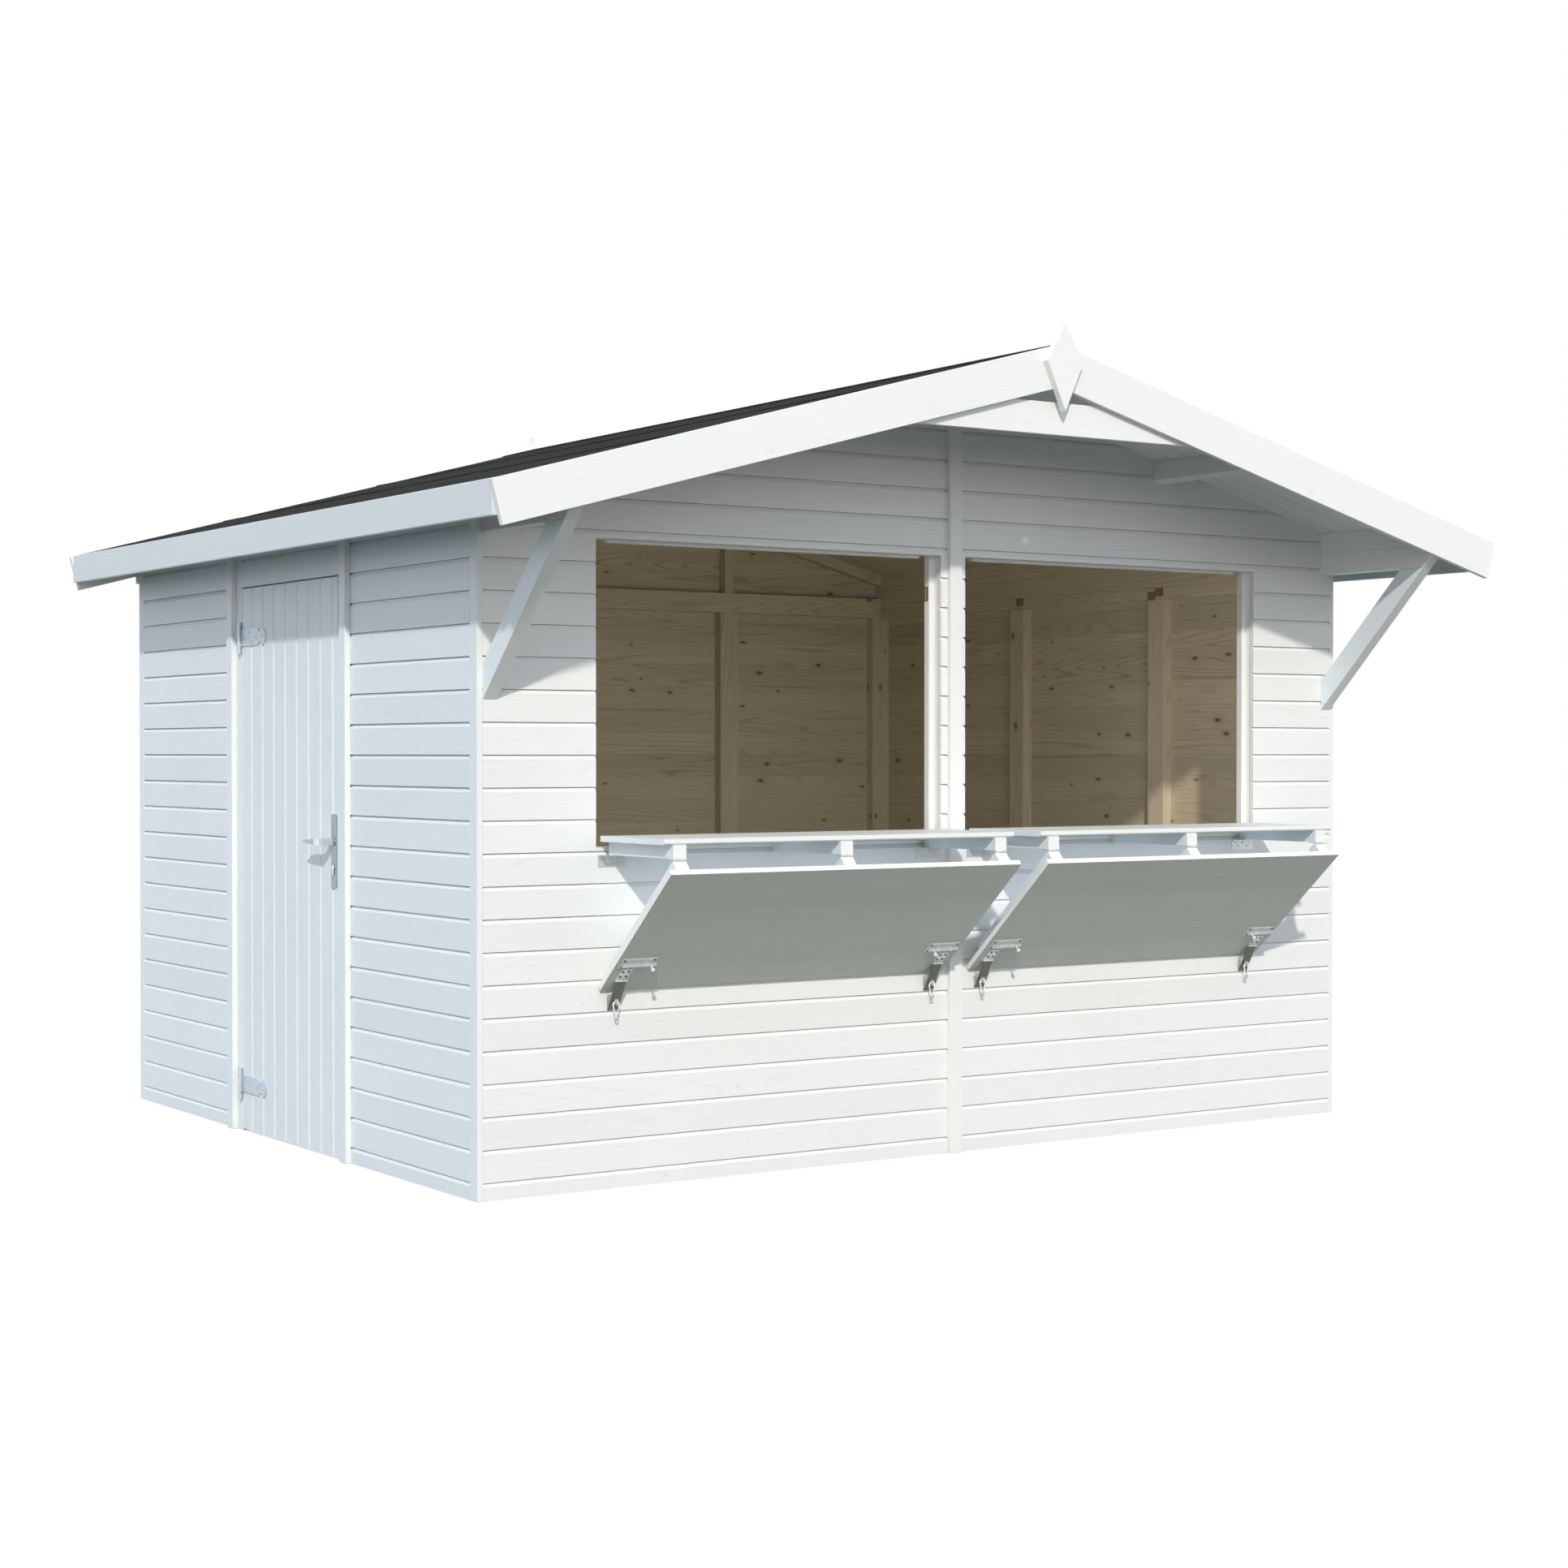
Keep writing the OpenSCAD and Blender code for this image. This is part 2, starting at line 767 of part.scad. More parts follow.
module hatch_flap_battens() {
    color(paint_front) each_hatch() for (x = batten_spots)
        along_x(x, x + hatch_batten_w) on_flap()
            translate([flap_knuckle_d, -hatch_batten_h])
                square([flap_batten_len - flap_knuckle_d, hatch_batten_h - leaf_t]);
}

// Butt hinges between the wall and the counter's battens
module counter_hinges() {
    knuckle_y = front_y - wall_knuckle_d / 2;
    knuckle_z = counter_z - wall_knuckle_d / 2;
    color(zinc) each_hatch() for (x = [-hatch_w / 2, hatch_w / 2 - wall_hinge_w]) {
        translate([x, knuckle_y, knuckle_z]) rotate([0, 90, 0])
            cylinder(h = wall_hinge_w, d = wall_knuckle_d);
        block([x, front_y - leaf_t, knuckle_z - wall_hinge_h],
            [x + wall_hinge_w, front_y, knuckle_z]);
        block([x, knuckle_y - leaf_reach, counter_z - leaf_t],
            [x + wall_hinge_w, knuckle_y, counter_z]);
    }
}

// Butt hinges between the battens of the counter and of the flap
module flap_hinges() {
    color(zinc) each_hatch() for (x = batten_spots) {
        translate([x, hinge_y, counter_z - flap_knuckle_d / 2]) rotate([0, 90, 0])
            cylinder(h = hatch_batten_w, d = flap_knuckle_d);
        block([x, hinge_y, counter_z - leaf_t],
            [x + hatch_batten_w, hinge_y + flap_leaf_len, counter_z]);
        along_x(x, x + hatch_batten_w) on_flap() translate([flap_knuckle_d / 2, -leaf_t])
            square([flap_leaf_len, leaf_t]);
    }
}

// Copies at both ends of every hatch, measured from the hatch's outer end inwards
module each_latch(from_end) {
    each_hatch() both_sides() translate([hatch_w / 2 - from_end, 0, 0]) children();
}

// The strap's own frame: x across, y down the strap from its knuckle, z away from the wall
module on_strap() {
    translate([0, hasp_pivot[0], hasp_pivot[1]]) rotate([hasp_lean - 90, 0, 0])
        mirror([0, 0, 1]) children();
}

// Hasps: a plate on the flap's face, a knuckle and a slotted strap that hangs to the wall
module hatch_hasps() {
    strap_w = hasp_w - 2 * hasp_t;
    color(zinc) each_latch(hasp_from_end) {
        on_flap_face()
            block([-strap_w / 2, hasp_knuckle_s - hasp_plate_len, 0],
                [strap_w / 2, hasp_knuckle_s - hasp_knuckle_d / 4, hasp_t]);
        translate([-hasp_w / 2, hasp_pivot[0], hasp_pivot[1]]) rotate([0, 90, 0])
            cylinder(h = hasp_w, d = hasp_knuckle_d);
        on_strap() difference() {
            block([-strap_w / 2, hasp_knuckle_d / 4, -hasp_t / 2],
                [strap_w / 2, hasp_len, hasp_t / 2]);
            block([-slot_w / 2, hasp_len - slot_from_end - slot_h, -hasp_t],
                [slot_w / 2, hasp_len - slot_from_end, hasp_t]);
        }
    }
}

// Staple plates on the wall, each with the loop that stands through the hasp's slot
module hatch_staples() {
    top = hasp_tip[1] + staple_h;
    loop_z = hasp_tip[1] + (slot_from_end + slot_h / 2) * cos(hasp_lean);
    color(zinc) each_latch(hasp_from_end) {
        block([-staple_w / 2, front_y - staple_t, hasp_tip[1]], [staple_w / 2, front_y, top]);
        translate([0, front_y - staple_t, loop_z]) rotate([90, 0, 0]) difference() {
            block([-loop_t / 2, -loop_h / 2, 0], [loop_t / 2, loop_h / 2, loop_reach]);
            translate([-loop_t, 0, loop_reach - loop_h / 2]) rotate([0, 90, 0])
                cylinder(h = 2 * loop_t, d = loop_h - 2 * loop_t);
        }
    }
}

// Barrel bolts on the flap's outer face: a plate, a rod in two guides and a knob
module hatch_bolts() {
    axis = leaf_t + bolt_d / 2 - bolt_sink;
    color(zinc) each_latch(hasp_from_end + bolt_shift)
        on_flap_face() translate([0, flap_len - bolt_from_edge, 0]) {
            block([-bolt_plate_w / 2, -bolt_plate_h / 2, 0],
                [bolt_plate_w / 2, bolt_plate_h / 2, leaf_t]);
            translate([-bolt_len / 2, 0, axis]) rotate([0, 90, 0])
                cylinder(h = bolt_len, d = bolt_d);
            for (x = guide_spots) translate([x - guide_w / 2, 0, axis]) rotate([0, 90, 0])
                cylinder(h = guide_w, d = bolt_d + 2 * guide_wall);
            translate([knob_from_end - bolt_len / 2, 0, axis]) {
                cylinder(h = knob_len - knob_d / 2, d = bolt_d / 2);
                translate([0, 0, knob_len - knob_d / 2]) sphere(d = knob_d);
            }
        }
}

// Door

module door_leaf() {
    color(paint_side)
        block([door_face_x, door_y0, door_foot_gap],
            [door_face_x + clad_t, door_y1, door_foot_gap + door_h]);
}

// Ledges and the brace between them, on the inner face of the leaf
module door_ledges() {
    inset = door_stop_w + ledge_clear;
    inner_x = door_face_x + clad_t;
    low_z = hinge_low_z + ledge_h / 2 + ledge_gap;
    high_z = hinge_high_z - ledge_h / 2 - ledge_gap;
    low_y = door_y1 - inset - ledge_h;
    high_y = door_y0 + inset;
    color(bare_pine) for (z = hinge_heights)
        block([inner_x, door_y0 + inset, z - ledge_h / 2],
            [inner_x + ledge_t, door_y1 - inset, z + ledge_h / 2]);
    color(bare_pine) along_x(inner_x, inner_x + ledge_t)
        polygon([[low_y, low_z], [low_y + ledge_h, low_z], [high_y + ledge_h, high_z],
            [high_y, high_z]]);
}

// Outline of a strap: necked before its round end, in y and z from the pin's axis
module strap_outline() {
    end_y = strap_h / 2 - strap_len;
    difference() {
        union() {
            translate([end_y, -strap_h / 2]) square([-knuckle_gap - end_y, strap_h]);
            translate([end_y, 0]) circle(d = strap_h);
        }
        for (side = sides)
            translate([end_y + neck_d / 2, side * (strap_h / 2 + neck_d / 2 - neck_depth)])
                circle(d = neck_d);
    }
}

// Straps with their knuckles, turning on the fixed pins
module door_hinge_straps() {
    color(zinc) for (z = hinge_heights)
        translate([pin_x, pin_y, z]) difference() {
            union() {
                translate([0, 0, -strap_h / 2]) cylinder(h = strap_h, d = barrel_d);
                along_x(door_face_x - strap_t - pin_x, door_face_x - pin_x) strap_outline();
            }
            translate([0, 0, -strap_h / 2 - overrun])
                cylinder(h = strap_h + 2 * overrun, d = pin_d + 2 * pin_clear);
        }
}

// Pins, fixed knuckles and plates on the door post
module door_hinge_pins() {
    color(zinc) for (z = hinge_heights)
        translate([pin_x, pin_y, z]) {
            translate([0, 0, -barrel_len / 2]) cylinder(h = barrel_len, d = pin_d);
            for (low = [-barrel_len / 2, strap_h / 2 + knuckle_gap]) {
                translate([0, 0, low]) {
                    cylinder(h = knuckle_h - knuckle_gap, d = barrel_d);
                    block([0, 0, 0],
                        [door_face_x - pin_x, barrel_d / 2, knuckle_h - knuckle_gap]);
                }
            }
            block([door_face_x - hinge_plate_t - pin_x, barrel_d / 2, -barrel_len / 2],
                [door_face_x - pin_x, barrel_d / 2 + hinge_plate_w, barrel_len / 2]);
        }
}

// Outline of the handle plate: round corners and a keyhole below the lever
module handle_plate_outline() {
    low = lever_z - handle_drop - handle_plate_h / 2;
    difference() {
        union() {
            translate([-handle_plate_w / 2, low + plate_corner])
                square([handle_plate_w, handle_plate_h - 2 * plate_corner]);
            translate([plate_corner - handle_plate_w / 2, low])
                square([handle_plate_w - 2 * plate_corner, handle_plate_h]);
            for (side = sides, z = [low + plate_corner, low + handle_plate_h - plate_corner])
                translate([side * (handle_plate_w / 2 - plate_corner), z])
                    circle(r = plate_corner);
        }
        translate([0, lever_z - key_drop]) circle(d = key_d);
        translate([-key_slot_w / 2, lever_z - key_drop - key_slot_h])
            square([key_slot_w, key_slot_h]);
    }
}

module handle_plate() {
    color(zinc) difference() {
        union() {
            along_x(door_face_x - handle_plate_t, door_face_x)
                translate([handle_y, 0]) handle_plate_outline();
            translate([door_face_x - handle_plate_t - boss_t, handle_y, lever_z])
                rotate([0, 90, 0]) cylinder(h = boss_t, d = boss_d);
        }
        translate([door_face_x - handle_plate_t - boss_t - overrun, handle_y, lever_z])
            rotate([0, 90, 0])
                cylinder(h = handle_plate_t + boss_t + overrun, d = spindle_d + 2 * pin_clear);
    }
}

// Lever: a spindle in the plate's boss and a tapered bar that points to the hinges
module door_lever() {
    axis_x = door_face_x - lever_off;
    color(zinc) translate([0, handle_y, lever_z]) {
        translate([axis_x, 0, 0]) rotate([0, 90, 0])
            cylinder(h = lever_off - spindle_seat, d = spindle_d);
        translate([axis_x, 0, 0]) rotate([-90, 0, 0])
            cylinder(h = lever_len - lever_tip_d / 2, d1 = lever_d, d2 = lever_tip_d);
        translate([axis_x, lever_len - lever_tip_d / 2, 0]) sphere(d = lever_tip_d);
        translate([axis_x, 0, 0]) sphere(d = lever_d);
    }
}

front_apron();
front_piers();
front_gable();
front_posts();
front_rails();
front_joint_batten();
hatch_stops();
back_wall();
back_gable();
back_posts();
back_rails();
right_wall();
left_wall_front();
left_wall_back();
left_wall_over_door();
side_posts();
side_rails();
door_posts();
door_battens();
corner_battens();
gable_rafters();
wall_plates();
eave_purlins();
mid_purlins();
ridge_purlin();
roof_boards_left();
roof_boards_right();
roof_felt_left();
roof_felt_right();
bargeboards_left();
bargeboards_right();
eaves_fascias();
front_tie_board();
finials();
braces();
hatch_counters();
hatch_counter_battens();
hatch_flaps();
hatch_flap_battens();
counter_hinges();
flap_hinges();
hatch_hasps();
hatch_staples();
hatch_bolts();
door_leaf();
door_ledges();
door_hinge_straps();
door_hinge_pins();
handle_plate();
door_lever();
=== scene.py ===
"""Looks of a painted timber market hut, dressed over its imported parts."""
import json
import math
from contextlib import contextmanager

import bmesh
import bpy
from mathutils import Matrix, Vector


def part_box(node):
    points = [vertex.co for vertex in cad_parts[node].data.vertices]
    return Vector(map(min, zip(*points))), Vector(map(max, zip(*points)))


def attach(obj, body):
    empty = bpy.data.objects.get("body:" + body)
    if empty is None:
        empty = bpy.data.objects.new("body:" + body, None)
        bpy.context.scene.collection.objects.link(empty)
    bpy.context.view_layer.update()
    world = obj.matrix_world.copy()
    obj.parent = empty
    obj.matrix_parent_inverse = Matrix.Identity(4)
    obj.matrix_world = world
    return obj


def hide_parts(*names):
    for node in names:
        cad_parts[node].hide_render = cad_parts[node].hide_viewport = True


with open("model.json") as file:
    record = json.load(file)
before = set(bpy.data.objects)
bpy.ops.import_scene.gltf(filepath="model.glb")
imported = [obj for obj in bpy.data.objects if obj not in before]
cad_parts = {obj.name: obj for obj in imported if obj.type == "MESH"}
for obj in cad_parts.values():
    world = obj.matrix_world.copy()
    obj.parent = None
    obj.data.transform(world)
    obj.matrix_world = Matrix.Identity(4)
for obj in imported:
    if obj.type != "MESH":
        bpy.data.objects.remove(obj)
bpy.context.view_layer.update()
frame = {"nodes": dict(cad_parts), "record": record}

bl_info = {
    "name": "Market hut looks",
    "version": (1, 0, 0),
    "blender": (4, 5, 0),
    "location": "View3D > Sidebar > Hut",
    "description": "Boards, roofing, trim, ironwork and finishes of a painted timber market hut",
    "category": "Object",
}

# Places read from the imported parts, in metres.
apron_low, apron_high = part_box("front_apron")
FRONT = apron_low.y
CLAD = apron_high.y - apron_low.y
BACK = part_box("back_wall")[1].y
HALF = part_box("right_wall")[1].x
FRONT_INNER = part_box("front_posts")[1].y
felt_low, felt_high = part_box("roof_felt_right")
deck_low, deck_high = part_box("roof_boards_right")
RIDGE = felt_high.z
FELT_RISE = felt_high.z - deck_high.z
EDGE = felt_high.x
FALL = (RIDGE - FELT_RISE - felt_low.z) / EDGE
PITCH = math.atan(FALL)
DECK_UNDER = deck_low.z + EDGE * FALL
ROOF_FRONT, ROOF_BACK = felt_low.y, felt_high.y
SLOTS = {part["node"]: part["material_slot"] for part in frame["record"]["subparts"]}
BODIES = {node: body for body, nodes in frame["record"]["behaviour"]["bodies"].items()
          for node in nodes}
NEAR = 1e-5  # two points closer than this are one
FAR = 9.0  # well beyond the hut on every side
LOOKS = 0.9  # least part of a face's normal along the way that it looks
LOOKS_LEFT = -0.7  # part of a normal to the right below which a face looks to the left
SHARP = math.radians(40)  # edges sharper than this are rounded
ROUND = 60  # degrees between faces that are shaded as one on forged metal
BARE_SKIN = 0.002  # depth of the bare face that an opening's timber shows to the room
BRACE_TURN = math.pi / 4
flap_mesh = frame["nodes"]["hatch_flaps"].data
flap_way = max(flap_mesh.polygons, key=lambda face: face.area).normal
FLAP_TURN = math.atan2(abs(flap_way.y), abs(flap_way.z))
FLAP_FOLD = min(point.co.y * math.cos(FLAP_TURN) - point.co.z * math.sin(FLAP_TURN)
                for point in flap_mesh.vertices)
FLAP_SHELL = min(point.co.y * math.sin(FLAP_TURN) + point.co.z * math.cos(FLAP_TURN)
                 for point in flap_mesh.vertices)


# Kinds of value that repeat.
def length_value(name, description, default):
    return bpy.props.FloatProperty(name=name, description=description, default=default,
                                   unit="LENGTH")


def colour_value(name, description, default):
    return bpy.props.FloatVectorProperty(name=name, description=description, default=default,
                                         subtype="COLOR", size=3)


class HutBoards(bpy.types.PropertyGroup):
    """Sizes of the boards and the timber edges."""
    cover: length_value("Board cover", "Wall height that one board covers", 0.0968)
    first_joint: length_value(
        "First joint", "Height of the lowest joint between wall boards", 0.0547)
    chamfer_height: length_value(
        "Chamfer height", "Height of the sloped upper edge of a board", 0.0136)
    chamfer_depth: length_value(
        "Chamfer depth", "Depth of the sloped upper edge of a board", 0.0070)
    inner_joint: length_value("Inner joint", "Eased edge of a board on the room side", 0.0010)
    deck_first: length_value(
        "First roof joint", "Distance from the front edge to a roof board joint", 0.0600)
    joint_slit: length_value("Joint slit", "Open height of the joint between two boards", 0.0022)
    joint_reach: length_value("Joint reach", "Depth of the open joint behind the chamfer", 0.0040)
    deck_chamfer: length_value(
        "Roof board chamfer", "Sloped edge of a roof board, underneath", 0.0060)
    door_first: length_value(
        "First door joint", "Distance from the hinge edge to a door joint", 0.0900)
    arris: length_value("Arris", "Rounding on the edges of planed timber", 0.0018)
    metal_edge: length_value("Metal edge", "Rounding on the edges of pressed metal", 0.0004)
    felt_lap: length_value("Felt lap", "Overlap of one felt course on the next", 0.0750)
    felt_thickness: length_value("Felt thickness", "Thickness of one felt course", 0.0026)
    felt_courses: bpy.props.IntProperty(
        name="Felt courses", description="Courses of felt on each slope", default=3)
    ridge_felt: length_value("Ridge felt", "Reach of the ridge strip down each slope", 0.1500)
    hatch_cover: length_value("Hatch board cover", "Width that one hatch board covers", 0.0932)
    flap_seam: bpy.props.FloatProperty(
        name="Flap seams", description="Strength of the pale lines between a flap's boards",
        default=0.30, subtype="FACTOR")
    screw_width: length_value("Screw head", "Width of a screw head", 0.0080)
    screw_rise: length_value("Screw rise", "Height of a screw head", 0.0014)
    clip_radius: length_value("Clip radius", "Radius of a staple clip's bend", 0.0110)
    clip_length: length_value("Clip length", "Straight length of a staple clip", 0.0170)
    clip_wire: length_value("Clip wire", "Thickness of a staple clip's wire", 0.0048)
    keep_height: length_value("Keep height", "Height of a bolt keep on a hatch stop", 0.0480)
    keep_drop: length_value("Keep drop", "Distance from the head down to a bolt keep", 0.1000)
    keep_width: length_value("Keep width", "Width of a bolt keep", 0.0190)
    lever_height: length_value("Lever height", "Height of the lever's neck", 0.0220)
    lever_tip: length_value("Lever tip", "Height of the lever's tip", 0.0080)
    leaf: length_value("Metal leaf", "Thickness of the leaves of the hatches' ironwork", 0.0020)
    post_leaf: length_value("Door hinge leaf", "Thickness of a door hinge's fixed leaf", 0.0030)
    handle_leaf: length_value("Handle plate", "Thickness of the handle plate", 0.0040)
    rod_centre: length_value(
        "Bolt rod", "Distance from a flap to the middle of a bolt's rod", 0.0075)
    strap_hang: length_value("Hasp strap", "Height of a hasp's strap below its knuckle", 0.0880)
    lock_width: length_value("Lock width", "Width of the lock cylinder", 0.0170)
    lock_drop: length_value(
        "Lock drop", "Distance from the lever down to the lock cylinder", 0.0830)
    lock_rise: length_value(
        "Lock rise", "Distance that the lock stands out of the handle plate", 0.0035)
    counter_bevel: length_value("Counter bevel", "Bevel of a counter's lower front edge", 0.0050)
    head_stop: length_value("Door head stop", "Height of the stop over the door", 0.0200)
    rail_end_rise: length_value(
        "Rail end", "Distance that a rail's end stands out of the rail", 0.0025)


class HutFinishes(bpy.types.PropertyGroup):
    """Colours of the finishes."""
    paint: colour_value("Paint", "White paint on the front and the trim", (0.84, 0.84, 0.82))
    # Painted shade: the same white paint made darker and bluer, for the sky-lit shade on the side
    # walls, the door and faces that look to the left.
    side_painted_shade: colour_value(
        "Side paint", "White paint darkened and tinted blue as painted shade, on the side walls and the door", (0.74, 0.80, 0.84))
    # Painted shade: the white paint made darker on the eaves fascias.
    fascia_painted_shade: colour_value(
        "Fascia paint", "White paint darkened as painted shade, on the eaves fascias", (0.64, 0.69, 0.72))
    # Painted shade: the white paint made darker where it lies under the roof, on the roof boards
    # and purlins.
    shade_paint: colour_value("Overhang paint", "White paint under the roof", (0.76, 0.78, 0.76))
    # Painted shade: the white paint made darker and greener on the outer faces of the flaps.
    flap_painted_shade: colour_value(
        "Flap paint", "White paint darkened as painted shade, on the outer faces of the flaps", (0.63, 0.655, 0.600))
    pine: colour_value("Pine", "Early wood of the bare pine", (0.53, 0.46, 0.335))
    pine_ring: colour_value("Pine rings", "Late wood of the bare pine", (0.36, 0.275, 0.17))
    knot: colour_value("Knots", "Knots in the bare pine", (0.16, 0.080, 0.040))
    felt: colour_value("Felt", "Mineral roofing felt", (0.0125, 0.0145, 0.0130))
    zinc: colour_value("Zinc", "Bright zinc of the hatches' ironwork", (0.72, 0.74, 0.73))
    # Painted shade: a darker zinc for the bolts' rods and the clips' eyes.
    painted_shade_bolt_zinc: colour_value("Bolt zinc", "Darker zinc as painted shade on the bolts' rods and the clips' eyes", (0.40, 0.42, 0.42))
    wire_zinc: colour_value("Clip wire", "Bright wire of the clips", (0.88, 0.89, 0.87))
    # Painted reflection: the door hinges' zinc tinted blue for the sky that it would mirror in
    # shade.
    sky_tinted_hinge_zinc: colour_value("Hinge zinc", "Galvanised door hinges, tinted blue as a painted reflection of the sky", (0.55, 0.63, 0.69))
    # Painted shade and painted reflection: a dark zinc for the hasps' straps below their knuckles,
    # which stand for ground mirrored in shade. The latch screws and the lock's keyway also use it.
    painted_shade_zinc: colour_value("Painted dark zinc", "Dark zinc as painted shade and dark reflection", (0.105, 0.110, 0.080))
    brass: colour_value("Brass", "Dull brass of the bolt keeps", (0.34, 0.31, 0.19))
    alloy: colour_value("Handle metal", "Satin handle metal", (0.35, 0.41, 0.45))
    # Polished metal that is also a painted highlight: the bright part of the lever's grip and the
    # lock's face.
    polished_alloy_and_highlight: colour_value(
        "Polished handle metal and painted highlight", "Bright handle metal, also a painted highlight", (0.86, 0.86, 0.84))
    end_grain: colour_value("End grain", "Dark ends of the rails", (0.21, 0.145, 0.080))


class HutStage(bpy.types.PropertyGroup):
    """Light, floor and camera."""
    sun_strength: bpy.props.FloatProperty(
        name="Key light", description="Strength of the key light", default=2.40)
    sun_colour: colour_value("Key colour", "Colour of the key light", (1.0, 0.975, 0.90))
    sun_spread: bpy.props.FloatProperty(
        name="Key softness", description="Width of the key light as an angle",
        default=math.radians(1.8), subtype="ANGLE")
    sun_way: bpy.props.FloatVectorProperty(
        name="Key direction", description="Direction in which the key light travels",
        subtype="DIRECTION", size=3, default=(0.4493, 0.7132, -0.5378))
    sky_colour: colour_value(
        "Fill colour", "Colour of the light from all round", (0.54, 0.66, 0.80))
    horizon_colour: colour_value(
        "Low light colour", "Colour of the light from low down, all round", (0.975, 1.0, 1.05))
    horizon_strength: bpy.props.FloatProperty(
        name="Low light", description="Strength of the light from low down", default=1.35)
    horizon_height: bpy.props.FloatProperty(
        name="Low light height", description="Angle up to which the low light is full",
        default=math.radians(16.0), subtype="ANGLE")
    horizon_fade: bpy.props.FloatProperty(
        name="Low light fade", description="Angle above which the low light has gone",
        default=math.radians(30.0), subtype="ANGLE")
    ground_colour: colour_value(
        "Ground tone", "Tone of the floor in bounced light", (0.086, 0.091, 0.080))
    room_light: bpy.props.FloatProperty(
        name="Room light", description="Power of the soft light in the room", default=14.5,
        unit="POWER")
    hatch_light: bpy.props.FloatProperty(
        name="Hatch light", description="Power of the soft light behind each flap", default=0.8,
        unit="POWER")
    floor_glow: bpy.props.FloatProperty(
        name="Floor glow", description="White that the floor shows by itself", default=0.62)
    floor_tone: bpy.props.FloatProperty(
        name="Floor tone", description="Share of the light that the floor shows", default=0.42)
    floor_size: length_value("Floor size", "Side of the floor", 160.0)
    camera_place: bpy.props.FloatVectorProperty(
        name="Camera place", description="Where the camera stands",
        subtype="TRANSLATION", size=3, default=(-5.2784, -8.0722, 1.3198))
    camera_turn: bpy.props.FloatVectorProperty(
        name="Camera turn", description="How the camera is turned", subtype="EULER", size=3,
        default=(math.radians(90 - 0.688), 0.0, math.radians(-33.77)))
    camera_lens: bpy.props.FloatProperty(
        name="Camera lens", description="Focal length on a 36 mm sensor", default=60.39)


# Modelling helpers.
def clear_selection():
    if bpy.context.object is not None and bpy.context.object.mode != "OBJECT":
        bpy.ops.object.mode_set(mode="OBJECT")
    bpy.ops.object.select_all(action="DESELECT")


def activate(obj):
    clear_selection()
    obj.select_set(True)
    bpy.context.view_layer.objects.active = obj


@contextmanager
def editing(obj):
    activate(obj)
    bpy.ops.object.mode_set(mode="EDIT")
    bpy.ops.mesh.select_mode(type="FACE")
    bpy.ops.mesh.select_all(action="SELECT")
    yield
    bpy.ops.object.mode_set(mode="OBJECT")


def pick(obj, kind, test):
    """Select the vertices, edges or faces that pass the test, in edit mode."""
    bpy.ops.mesh.select_mode(type=kind)
    bpy.ops.mesh.select_all(action="DESELECT")
    mesh = bmesh.from_edit_mesh(obj.data)
    mesh.normal_update()
    found = {"VERT": mesh.verts, "EDGE": mesh.edges, "FACE": mesh.faces}[kind]
    chosen = [part for part in found if test(part)]
    if not chosen:
        raise RuntimeError(f"nothing to select on {obj.name}")
    for part in chosen:
        part.select_set(True)
    bmesh.update_edit_mesh(obj.data)


def fix_place():
    """Move the active object's place, turn and scale into its mesh."""
    bpy.ops.object.transform_apply(location=True, rotation=True, scale=True)
    return bpy.context.object


def block(name, low, high):
    """Cube at its size and place, ready to be shaped."""
    clear_selection()
    low, high = Vector(low), Vector(high)
    bpy.ops.mesh.primitive_cube_add(size=1, location=(low + high) / 2, scale=high - low)
    obj = fix_place()
    obj.name = obj.data.name = name
    return obj


def extrude(x=0.0, y=0.0, z=0.0):
    bpy.ops.mesh.extrude_region_move(TRANSFORM_OT_translate={"value": (x, y, z)})


def inset_steps(steps, width, depth):
    """Insets one in the other, each a share of a width and a share of a depth."""
    for inward, outward in steps:
        bpy.ops.mesh.inset(thickness=width * inward, depth=depth * outward)


def modify(obj, kind, **settings):
    activate(obj)
    bpy.ops.object.modifier_add(type=kind)
    modifier = obj.modifiers[-1]
    for setting, value in settings.items():
        setattr(modifier, setting, value)
    bpy.ops.object.modifier_apply(modifier=modifier.name)


def round_edges(obj, width, segments=2, sharp=SHARP):
    modify(obj, "BEVEL", width=width, segments=segments, limit_method="ANGLE", angle_limit=sharp)


def trim(obj, point, normal):
    """Cut away what lies beyond a plane and close the cut."""
    with editing(obj):
        bpy.ops.mesh.bisect(plane_co=point, plane_no=normal, use_fill=True, clear_outer=True,
                            threshold=NEAR)


def place(obj, matrix):
    activate(obj)
    obj.matrix_world = matrix
    fix_place()


def join(pieces, name):
    clear_selection()
    for piece in pieces:
        piece.select_set(True)
    bpy.context.view_layer.objects.active = pieces[0]
    if len(pieces) > 1:
        bpy.ops.object.join()
    joined = bpy.context.view_layer.objects.active
    joined.name = joined.data.name = name
    return joined


def smooth(obj, degrees=35):
    """Smooth shading that keeps broad faces flat."""
    activate(obj)
    bpy.ops.object.shade_smooth_by_angle(angle=math.radians(degrees))
    modify(obj, "WEIGHTED_NORMAL", keep_sharp=True)


def copy_node(node, name):
    """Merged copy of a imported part, with its flat faces whole again."""
    obj = bpy.data.objects.new(name, frame["nodes"][node].data.copy())
    bpy.context.scene.collection.objects.link(obj)
    obj.data.name = name
    with editing(obj):
        bpy.ops.mesh.customdata_custom_splitnormals_clear()
        bpy.ops.mesh.remove_doubles(threshold=NEAR)
        bpy.ops.mesh.dissolve_limited(angle_limit=math.radians(0.5))
    return obj


def soften(node, width, name, segments=2):
    """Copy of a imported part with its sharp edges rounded."""
    obj = copy_node(node, name)
    round_edges(obj, width, segments)
    smooth(obj)
    return obj


